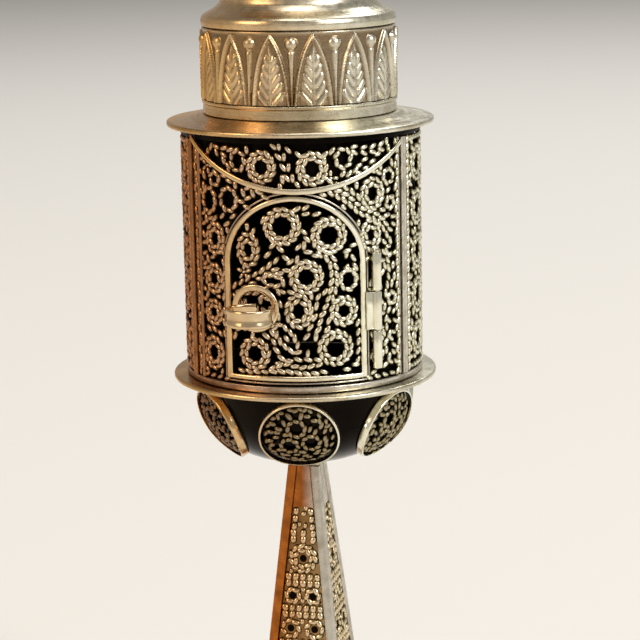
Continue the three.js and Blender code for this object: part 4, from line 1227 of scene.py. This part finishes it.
def on_bowl(points, turn):
    """Flat points (across, up, out) pressed on the bowl, then turned round the axis."""
    flat = np.asarray(points, float)
    p = flat.reshape(-1, 3)
    start = disc_middle + p[:, :1] * np.array([1.0, 0, 0]) + p[:, 1:2] * disc_up
    low, high = np.full(len(p), FARTHEST_IN), np.full(len(p), FARTHEST_OUT)
    for _ in range(HALVINGS):
        middle = (low + high) / 2
        at = start + middle[:, None] * disc_out
        radius = np.hypot(at[:, 0], at[:, 1]) / BOWL_RADIUS
        depth = np.clip((BOWL_TOP - at[:, 2]) / BOWL_DEPTH, 0, None)
        outer = radius**BOWL_POWER + depth**BOWL_POWER > 1
        high, low = np.where(outer, middle, high), np.where(outer, low, middle)
    return turned_by(start + (low + p[:, 2])[:, None] * disc_out, turn).reshape(flat.shape)


# %% Roundels
ROUNDELS, HOOP_RADIUS, HOOP_OUT, DISC_RADIUS = 6, 7.2, 0.83, 6.75
TREFOIL_AWAY, TREFOIL_ROOM, TREFOIL_ROPE, THIRD_TURN = 2.35, 2.05, 1.55, 2.094
RIM_GRAINS_AWAY, RIM_GRAINS_STEP, RIM_GRAINS_LEAN = 6.1, 0.3, 1.2
ROUNDEL_SIZES = (1.6, 0.85, 0.8, 1.15)
hoop = hoop_rows((0, 0), HOOP_RADIUS, HOOP_OUT, rounded_box(0.36, 1.3, 0.14), 96)
disc_room = edge_room([(DISC_RADIUS * math.cos(t), DISC_RADIUS * math.sin(t))
                       for t in np.linspace(0, FULL_TURN, 96, endpoint=False)])
rim_grains = [(RIM_GRAINS_AWAY * math.cos(a), RIM_GRAINS_AWAY * math.sin(a), a + RIM_GRAINS_LEAN, 0.8)
              for a in np.arange(0, 6.2, RIM_GRAINS_STEP)]
for i in range(ROUNDELS):
    turn, lean, number = FULL_TURN * i / ROUNDELS, math.radians(100 + 23 * i), f"_{i + 1}"
    plain_piece("roundel_hoop" + number, [loft_shape(on_bowl(hoop, turn), ring=True)], arch_silver,
                "roundel_frame" + number)
    trefoil = [(TREFOIL_AWAY * math.cos(a), TREFOIL_AWAY * math.sin(a), TREFOIL_ROOM)
               for a in (lean, lean + THIRD_TURN, lean + 2 * THIRD_TURN)]
    rim_taken = [(u, v, 0.5) for u, v, _, _ in rim_grains]
    fill = pack_rings(disc_room, (-7, -7), (7, 7), trefoil + rim_taken, 1.2, 0.5, seed=41 + i, touch=0.15)
    lines, grains = dress_rings(fill, np.random.default_rng(51 + i))
    lines = [line for u, v, _ in trefoil for line in rope_ring(u, v, (TREFOIL_ROPE,))] + lines
    lace_piece("roundel_lace" + number, lines, rim_grains + grains, "roundel_filigree" + number,
               lambda points, turn=turn: on_bowl(points, turn), out=0.5, sizes=ROUNDEL_SIZES,
               finish=shaded_wire)
print("roundels lean", round(math.degrees(slope), 1), "degrees")

# %% [markdown]
# ## The stem
# The stem is a tall hollow pyramid. Four corner strips, bent to an angle, hold four panels of
# filigree. The panels are filled with round grains and small rings, laid in rows, so that their
# edge looks beaded from the side. Near the top there is no room for lace, and the sheet is plain.

# %% Stem sizes
STEM_FOOT, STEM_TOP = heights("stem_panel_front")
STEM_TALL, STEM_TURN = STEM_TOP - STEM_FOOT, math.radians(-11)
FOOT_WIDE, TOP_WIDE, STRIP_WALL, STRIP_LEG = 21.8, 6.0, 0.8, 1.7


def stem_half(z):
    """Half the stem's width at a height."""
    return (FOOT_WIDE + (TOP_WIDE - FOOT_WIDE) * (z - STEM_FOOT) / STEM_TALL) / 2


def stem_place(points, side=0):
    """Points (x, y, z) of the front side, turned to a side of the stem."""
    return turned_by(points, STEM_TURN + side * math.pi / 2)


# %% Corner strips
def angle_section(z):
    """The strip's section at a height: an angle with a rounded outer corner and a raised edge."""
    half = stem_half(z)
    inner, leg = half - STRIP_WALL, half - STRIP_LEG
    # One leg, from the inner corner to the outer one. The other leg is its mirror image.
    rows = [(inner, leg + 0.1), (inner + 0.1, leg), (half - 0.1, leg), (half, leg + 0.1),
            (half - 0.13, leg + 0.45), (half, leg + 0.8), (half, half - 0.25)]
    return [(inner, inner), *rows, (half - 0.07, half - 0.07), *[(y, x) for x, y in rows[::-1]]]


SIDES = ("front", "right", "back", "left")
strip_rows = [[(x, -y, z) for x, y in angle_section(z)] for z in np.linspace(STEM_FOOT, STEM_TOP, 40)]
for side, name in enumerate(SIDES):
    plain_piece("corner_" + name, [loft_shape(stem_place(strip_rows, side))], stem_silver,
                "stem_strip_" + name, sharp=50)
print("the stem is", round(STEM_TALL, 2), "mm tall")

# %% [markdown]
# ### Rows of grains
# A panel's lace is worked out row by row, from the foot to the top. Each row is as wide as the
# panel there, and takes a pair of rings, one ring or only grains, whichever fits.

# %% Lace of a stem panel
PANEL_IN, PLAIN_SHARE, SIDE_GAP, TOP_GAP, RING_GAP = 1.85, 0.1, 0.25, 0.4, 0.1
# The rope above the foot, the first row after it, and how far below the plain sheet the rows end.
FIRST_ROPE, AFTER_ROPE, LAST_RING, LAST_BEAD = 1.1, 0.8, 1.5, 1.3
# The half widths from which a row takes two rings or one, and the rings' own sizes.
PAIR_FROM, SINGLE_FROM, PAIR_PARTS, WIDEST, STEM_SECOND_IN = 3.6, 1.5, 2.15, 2.9, 1.35
# Round grains: two rows of them where the panel is wide, one where it is narrow.
TWO_ROWS_FROM, BEAD_WIDE, BEAD_UP, BEAD_ROOM, ROW_STEP, BEAD_STEP = 1.8, 1.3, 0.6, 0.65, 1.25, 1.45
PLAIN_FROM = STEM_TOP - PLAIN_SHARE * STEM_TALL


def panel_half(z):
    """Half the width of a panel at a height."""
    return stem_half(z) - PANEL_IN


def stem_lace(chance):
    """Lines, grains and the black dots of painted shade in the rings of one panel: across, and height on the
    stem.
    """
    lines, grains, rings, shade_dots = [], [], [], []
    z = STEM_FOOT + FIRST_ROPE
    lines += curls([(-panel_half(z) + 1, z), (0, z), (panel_half(z) - 1, z)])
    z += AFTER_ROPE
    while z < PLAIN_FROM - LAST_RING:
        room = panel_half(z) - SIDE_GAP
        if room < SINGLE_FROM:
            break
        radius = room / PAIR_PARTS if room > PAIR_FROM else room
        places = (radius - room, room - radius) if room > PAIR_FROM else (0.0,)
        radius = min(radius, WIDEST)
        middle = z + radius
        if middle + radius > PLAIN_FROM - TOP_GAP:
            break
        radii = (radius - ROPE_IN, radius - STEM_SECOND_IN)[: 2 if radius > TWO_FROM else 1]
        for u in places:
            rings.append((u, middle, radius))
            lines += rope_ring(u, middle, radii)
            # A black dot in the ring's middle is painted shade, for the dark inside the stem seen through the
            # ring.
            shade_dots.append((u, middle, 0.0, min(1.0, radius - 0.6)))
        z = middle + radius + RING_GAP
        count = max(2, int(2 * (panel_half(z) - 0.2) / BEAD_WIDE))
        span = panel_half(z) - 0.75
        for row in range(2 if room > TWO_ROWS_FROM else 1):
            for u in np.linspace(-span, span, count):
                grains.append((u, z + BEAD_UP, chance.uniform(1.1, 2.2), chance.uniform(0.95, 1.12)))
                rings.append((u, z + BEAD_UP, BEAD_ROOM))
            z += ROW_STEP
    # Above the last ring, pairs of grains and then single ones run up to the plain sheet.
    while z < PLAIN_FROM - LAST_BEAD:
        span = max(0.0, panel_half(z) - 0.7)
        for u in (-span, span) if span > 0.4 else (0.0,):
            grains.append((u, z + BEAD_UP, chance.uniform(1.1, 2.0), 1.0))
            rings.append((u, z + BEAD_UP, GRAIN_ROOM))
        z += BEAD_STEP
    edge = [(-panel_half(h) + 0.2, h) for h in np.linspace(STEM_FOOT + 1.6, PLAIN_FROM, 20)]
    field = edge_room(edge + [(-u, h) for u, h in edge[::-1]])
    for u, h, radius in pack_rings(field, (-11, STEM_FOOT), (11, PLAIN_FROM), rings, 0.75, 0.38,
                                   seed=int(chance.integers(1000))):
        grains.append((u, h, chance.uniform(0, 3), 0.45 + radius / 2))
    return lines, grains, shade_dots


# %% Stem panels
FACE_IN, LACE_IN, PLATE_BACK, HEM = 0.25, 0.28, -0.6, 0.9
STEM_ROPES, STEM_GRAINS, STEM_SHADE_DOTS = (2.0, 1.05, 1.0, 1.35), (1.75, 1.3, 1.05), (1.7, 1.7, 0.12)


def stem_plate(z0, z1, out):
    """A flat tapering plate of a panel between two heights. Its front lies out from the panel's face."""
    rows = []
    for z in (z0, z1):
        half, face = panel_half(z), -(stem_half(z) - FACE_IN)
        behind, front = face - PLATE_BACK, face - out
        rows.append([(-half, behind, z), (half, behind, z), (half, front, z), (-half, front, z)])
    return rows


hem_top, plain_foot = STEM_FOOT + HEM, PLAIN_FROM - 0.3
for side, name in enumerate(SIDES):
    lines, grains, shade_dots = stem_lace(np.random.default_rng(61 + side))
    parts = [wire_mesh(lines, STEM_ROPES, stem_wire), grain_mesh(grains, STEM_GRAINS, stem_wire),
             grain_mesh(shade_dots, STEM_SHADE_DOTS, painted_shade_black)]
    for mesh, sunk in zip(parts, (0, 0, 0.05)):
        u, h, out = get_points(mesh).T
        away = stem_half(h) - FACE_IN + out - sunk - LACE_IN
        set_points(mesh, stem_place(np.column_stack([u, -away, h]), side))
    for z0, z1, out, finish in ((plain_foot, STEM_TOP, 0.0, stem_silver),
                                (STEM_FOOT, hem_top, 0.0, stem_silver),
                                (hem_top, plain_foot, -0.3, back_silver)):
        plate = loft_shape(stem_place(stem_plate(z0, z1, out), side))
        parts.append(solid_mesh("stem_plate", [plate], finish))
    whole = joined("stem_lace_" + name, parts)
    add_piece(whole, "stem_lace_" + name, "stem_panel_" + name, "tower")
print("stem lace:", len(whole.polygons), "faces on one side")

# %% [markdown]
# ### Cap, stud and nut
# A square cap closes the stem, and its stud passes through the bowl's floor to a nut. Only the cap
# shows. A row of shallow grooves stands for the thread.

# %% Cap and nut
THREADS, THREAD_STEP, THREAD_OUT, THREAD_IN = 12, 0.45, 1.5, 1.36


def square_rows(steps, corner, foot):
    """Square sections with rounded corners, from rows of (half the width, height above a foot)."""
    return [[(x, y, foot + z) for x, y in rounded_box(2 * half, 2 * half, corner, 4)] for half, z in steps]


cap_foot, stud_top = heights("stem_cap_stud")
cap = square_rows([(2.85, 0.0), (3.0, 0.13), (3.0, 1.03), (2.85, 1.2)], 0.35, cap_foot)
stud = [(0, cap_foot + 0.58)]
for k in range(THREADS):
    z = cap_foot + 1.58 + THREAD_STEP * k
    stud += [(THREAD_OUT, z), (THREAD_IN, z + 0.22)]
stud += [(1.3, stud_top - 0.12), (0, stud_top)]
plain_piece("cap_and_stud", [loft_shape(stem_place(cap)), turned_shape(stud, 48)], strip_silver,
            "stem_cap_stud", sharp=50)

# The nut's section runs up its square outside and down its round bore.
nut_foot, nut_top = heights("stem_nut")
square = rounded_box(2, 2, 0.25, 5)
circle = square / np.linalg.norm(square, axis=1)[:, None]
levels = (nut_foot, nut_foot + 0.18, nut_top - 0.17, nut_top)
nut = [np.column_stack([square * half, np.full(len(square), z)])
       for half, z in zip((2.6, 2.7, 2.7, 2.6), levels)]
nut += [np.column_stack([circle * bore, np.full(len(circle), z)])
        for bore, z in zip((1.62, 1.6, 1.6, 1.62), levels[::-1])]
plain_piece("square_nut", [loft_shape(nut, ring=True)], strip_silver, "stem_nut")

# %% [markdown]
# ## The foot
# The foot is out of the photograph. A stepped square plinth of sheet, with an ogee under the stem
# and a plain closing plate, is the usual foot for a tower of this form.

# %% Plinth and plate
PLINTH_WALL, PLINTH_HALF, PLINTH_HOLE = 1.0, 27.0, 9.0
plinth_foot, plinth_top = heights("base_plinth")
rise = plinth_top - plinth_foot
outer = [(PLINTH_HOLE, rise), (12.25, rise), (13.73, rise), (17.86, 9.6), (20.81, 8.64), (22.58, 7.68),
         (23.76, 7.2), (23.76, 4.32), (PLINTH_HALF, 4.32), (PLINTH_HALF, 0.0)]
inner = [(half - PLINTH_WALL, z - PLINTH_WALL) for half, z in outer[-2:1:-1]]
inner = [(PLINTH_HALF - PLINTH_WALL, 0.0), *inner, (PLINTH_HOLE, rise - PLINTH_WALL)]
# Each corner becomes five points. The two ends of the outline stay as they are.
outline = [outer[0], *rounded(outer + inner, 0.5)[5:-5], inner[-1]]
plain_piece("stepped_plinth", [loft_shape(stem_place(square_rows(outline, 1.2, plinth_foot)))], sheet_silver,
            "base_plinth", sharp=35)
plate = square_rows([(27.3, 0.0), (27.5, 0.2), (27.5, 0.85), (27.3, 1.05)], 1.0, 0.0)
plain_piece("closing_plate", [loft_shape(stem_place(plate))], strip_silver, "base_plate")
print("plinth is", 2 * PLINTH_HALF, "mm wide")

# %% [markdown]
# ## The leaf band
# Above the drum a plain strip carries a struck band: fourteen pointed leaves, each with a raised
# edge and a smaller veined leaf inside, and between them buds on tapering stalks. The band is one
# fine grid of points bent to a cylinder. Each point is raised by the highest of these simple forms,
# and a shallow groove beside each form holds the tarnish.

# %% Base strip
BAND_RADIUS, BAND_IN, LEAVES = 17.5, 16.6, 14
LEAF_FOOT, LEAF_BAND_TOP = heights("leaf_band")
LEAF_TALL, PITCH = LEAF_BAND_TOP - LEAF_FOOT, FULL_TURN * BAND_RADIUS / LEAVES
base = lifted([(BAND_IN, 0), (17.75, 0), (17.7, 1.03), (17.66, 1.78), (17.9, 1.93), (17.9, 2.38),
               (17.72, 2.5), (BAND_IN, 2.5)], heights("band_base_strip")[0])
plain_piece("base_strip", [turned_shape(rounded(base, 0.12))], sheet_silver, "band_base_strip")

# %% Forms of the band
LEAF_TIP, LEAF_HALF, LEAF_TAPER, LEAF_SLOPE, EDGE_HIGH = 12.1, 3.55, 5.0, 0.71, 0.62
VEIN_TOP, VEIN_HIGH, LOBES, LOBE_HIGH, LOBE_WIDE = 10.4, 0.42, 5, 0.3, 0.64
BUD_UP, BUD_RADIUS, BUD_HIGH, STALK_HIGH = 10.75, 1.2, 0.85, 0.5


def ridge(away, width, height):
    """The height of a rounded ridge at a distance from its middle line."""
    return height * np.exp(-((away / width) ** 2))


def soft_step(value, width):
    """0 below zero and 1 above the width, with a smooth rise between."""
    t = np.clip(value / width, 0, 1)
    return t * t * (3 - 2 * t)


def leaf_height(x, v, depth):
    """One leaf with its middle line at x = 0: a raised edge, a vein and five pairs of lobes."""
    below = LEAF_TIP - v
    taper = np.exp(-np.clip(below, 0, None) / LEAF_TAPER)
    steep = 1 / np.sqrt(1 + (LEAF_SLOPE * taper) ** 2)
    away = np.where(below > 0, (np.abs(x) - LEAF_HALF * (1 - taper)) * steep, np.hypot(x, below))
    height = 0.08 * soft_step(-away, 0.4) + ridge(away, 0.26, EDGE_HIGH)
    height -= ridge(away + 0.6, 0.2, 0.12) + ridge(away - 0.55, 0.24, 0.12)
    raised = ridge(x, 0.2, VEIN_HIGH) * soft_step(VEIN_TOP - v, 2.2)
    for k in range(LOBES):
        lean = math.radians(50 + 4 * k)
        ax, av = np.abs(x) - 0.1, v + 0.6 - 1.8 * k
        along = (ax * math.cos(lean) + av * math.sin(lean)) / (3.9 - 0.42 * k)
        across = av * math.cos(lean) - ax * math.sin(lean)
        full = np.clip(1 - (2 * along - 1) ** 2, 0, 1) ** 0.4
        raised = np.maximum(raised, LOBE_HIGH * full * np.clip(1 - (across / LOBE_WIDE) ** 2, 0, 1))
    return height + depth * raised


def bud_height(x, v, depth):
    """A bud on a stalk that tapers to its foot."""
    away = np.hypot(x, v - BUD_UP)
    dome = BUD_HIGH * np.clip(1 - (away / BUD_RADIUS) ** 2, 0, 1) ** 0.7
    groove = ridge(away - BUD_RADIUS - 0.16, 0.18, 0.16)
    stalk_half = 0.22 + 0.55 * np.clip(v / 10, 0, 1) ** 1.5
    stalk = STALK_HIGH * np.clip(1 - (x / stalk_half) ** 2, 0, 1) * soft_step(BUD_UP - v, 0.8)
    return depth * np.maximum(dome, stalk) - groove


# %% Struck band
LEAF_COLUMNS, BAND_ROWS, TOP_EDGE, SUNK = 56, 93, 0.22, 0.06


def struck_band():
    """The band as one closed shape, the struck face outside and a plain wall inside, and its crest."""
    columns = LEAF_COLUMNS * LEAVES
    chance = np.random.default_rng(71)
    depths = chance.uniform(0.8, 1.1, (2, LEAVES))
    shifts = chance.uniform(-0.08, 0.08, LEAVES)
    turns = np.arange(columns) * FULL_TURN / columns
    s, v = np.meshgrid(turns * BAND_RADIUS / PITCH, np.linspace(0, LEAF_TALL, BAND_ROWS))
    leaf = np.floor(s).astype(int) % LEAVES
    bud = np.round(s).astype(int) % LEAVES
    height = leaf_height((s % 1 - 0.5) * PITCH + shifts[leaf], v, depths[0][leaf])
    height = np.maximum(height, bud_height(((s + 0.5) % 1 - 0.5) * PITCH, v, depths[1][bud]))
    height = np.maximum(height, ridge(v - LEAF_TALL + TOP_EDGE, TOP_EDGE, TOP_EDGE))
    radius = np.vstack([BAND_RADIUS + height - SUNK, np.full((2, columns), BAND_IN)])
    up = np.vstack([LEAF_FOOT + v, np.full((1, columns), LEAF_BAND_TOP), np.full((1, columns), LEAF_FOOT)])
    points = np.stack([radius * np.sin(turns), -radius * np.cos(turns), up], -1).reshape(-1, 3)
    here = np.arange(len(points)).reshape(radius.shape)
    after = np.roll(here, -1, 1)
    faces = np.stack([here, after, np.roll(after, -1, 0), np.roll(here, -1, 0)], -1).reshape(-1, 4).tolist()
    crest = np.append(np.clip((height + 0.05) / 0.35, 0, 1).ravel(), np.zeros(2 * columns))
    return (points, faces), crest


band, crest = struck_band()
piece = plain_piece("leaf_frieze", [band], band_silver, "leaf_band", sharp=60)
piece.data.attributes.new("crest", "FLOAT", "POINT").data.foreach_set("value", crest)
print("leaf band:", len(piece.data.polygons), "faces")

# %% [markdown]
# ## The steeple
# Only the shoulder of the roof is in the photograph: it curves in from the eaves to an almost
# upright wall. The rest follows towers of the same kind: a bead, a cone with hollow sides, a ball
# and a pennant on a staff.

# %% Steeple
# All heights are above the eaves.
shoulder = smooth_line([(17.7, 0.33), (17.75, 1.03), (17.6, 1.63), (17.2, 2.08), (16.4, 2.53), (15.2, 3.23),
                        (14.3, 4.23), (13.98, 5.23), (13.82, 7.03), (13.74, 9.93)], 6)[0]
cone = smooth_line([(13.72, 11.63), (12.95, 14.13), (11.05, 17.83), (9.2, 21.53), (7.65, 25.33),
                    (6.36, 29.13), (5.3, 33.43), (4.42, 37.73), (3.55, 42.33), (2.85, 46.73), (2.35, 50.53),
                    (2.1, 52.93)], 5)[0]
bead = [(13.92 + 0.3 * math.cos(a), 10.78 + 0.62 * math.sin(a))
        for a in np.linspace(-math.pi / 2, math.pi / 2, 13)]
eaves = [(16.9, 0), (17.5, 0), (17.65, 0.13)]
collar = [(2.3, 53.08), (2.4, 53.33), (2.3, 53.63), (2.0, 53.78), (1.94, 54.0)]
hollow = [(1.14, 54.0), (1.5, 46.98), (5.4, 29.16), (12.0, 14.58), (12.85, 10.23), (13.0, 6.48), (13.5, 3.93),
          (15.0, 2.23), (16.85, 0.93)]
profile = lifted([*eaves, *shoulder, *bead, *cone, *collar, *hollow], heights("steeple")[0])
piece = plain_piece("spun_steeple", [turned_shape(profile)], sheet_silver, "steeple",
                    sharp=35)
print("steeple:", len(piece.data.polygons), "faces")

# %% [markdown]
# ### Ball, staff and pennant
# The ball is two half shells, and their seam shows as a fine groove. The pennant's sleeve turns
# freely on the staff. Its flag is a thin sheet with a border of twisted wire on both faces.

# %% Ball and staff
BALL_RADIUS, BALL_UP, SEAM_DEEP, SEAM_WIDE, KNOB_RADIUS, KNOB_UP = 4.4, 6.0, 0.13, 1.6, 1.4, 17.0
ball = [(0, 0), (1.9, 0), (2.0, 0.18), (1.9, 0.43), (1.5, 0.88), (1.55, 1.38), (1.85, 1.73)]
for a in np.linspace(-66, 90, 60):
    radius = BALL_RADIUS - SEAM_DEEP * math.exp(-((a / SEAM_WIDE) ** 2))
    ball.append((radius * math.cos(math.radians(a)), BALL_UP + radius * math.sin(math.radians(a))))
ball[-1] = (0, BALL_UP + BALL_RADIUS)
staff = [(0, 0), (1.05, 0), (1.1, 0.18), (0.95, 0.48), (0.7, 0.63), (0.7, 15.63)]
staff += [(KNOB_RADIUS * math.cos(a), KNOB_UP + KNOB_RADIUS * math.sin(a))
          for a in np.linspace(math.radians(-58), math.pi / 2, 24)]
staff[-1] = (0, KNOB_UP + KNOB_RADIUS)
for name, profile, steps, finish in (("ball", ball, 96, sheet_silver), ("staff", staff, 48, strip_silver)):
    node = "finial_" + name
    shape = turned_shape(lifted(profile, heights(node)[0]), steps)
    plain_piece(name, [shape], finish, node, sharp=50)

# %% Pennant
SLEEVE_FOOT, SLEEVE_TOP = heights("pennant")
FLAG_TALL, FLAG_LONG, FLAG_START, NOTCH_SHARE, FLAG_OUT = 7.5, 14.0, 0.95, 0.7, 0.16
FLAG_TOP = SLEEVE_TOP - 0.15
FLAG_FOOT, FLAG_MIDDLE = FLAG_TOP - FLAG_TALL, FLAG_TOP - FLAG_TALL / 2
FLAG_ROPES, FLAG_GRAINS = (0.85, 0.46, 0.4, 0.66), (0.8, 0.5, 0.4)

sleeve = lifted([(0.8, 0), (1.08, 0), (1.2, 0.13), (1.2, 0.53), (1.08, 0.65), (1.08, 13.33), (1.2, 13.43),
                 (1.2, 13.83), (1.08, 13.95), (0.8, 13.95)], SLEEVE_FOOT)
flag_line = [(FLAG_START, FLAG_FOOT), (FLAG_LONG, FLAG_FOOT), (NOTCH_SHARE * FLAG_LONG, FLAG_MIDDLE),
             (FLAG_LONG, FLAG_TOP), (FLAG_START, FLAG_TOP)]
flag_centre = np.array([6.0, FLAG_MIDDLE])
flag = []
for share, y in ((0.985, -0.14), (1.0, -0.08), (1.0, 0.08), (0.985, 0.14)):
    flag.append([(x, y, z) for x, z in flag_centre + (rounded(flag_line, 0.3) - flag_centre) * share])
border = flag_centre + (rounded(flag_line, 0.5) - flag_centre) * (0.93, 0.88)
ropes = [(border, True), circle_line(4.6, FLAG_MIDDLE, 1.5), circle_line(7.9, FLAG_MIDDLE, 0.9)]
dots = flower_grains(4.6, FLAG_MIDDLE, 0.62, 3)
dots += [(10.8, FLAG_TOP - 1.6, 0.4, 0.9), (10.8, FLAG_TOP - 5.9, -0.4, 0.9)]
parts = [solid_mesh("flag_plate", [turned_shape(sleeve, 48), loft_shape(flag)], sheet_silver, 50)]
for face in (-1, 1):
    for mesh in (wire_mesh(ropes, FLAG_ROPES), grain_mesh(dots, FLAG_GRAINS)):
        u, v, out = get_points(mesh).T
        set_points(mesh, np.column_stack([u, face * (FLAG_OUT + out), v]))
        if face > 0:
            mesh.flip_normals()
        parts.append(mesh)
add_piece(joined("flag", parts), "flag", "pennant", "pennant")
print("the tower's top is at", heights("finial_staff")[1], "mm")
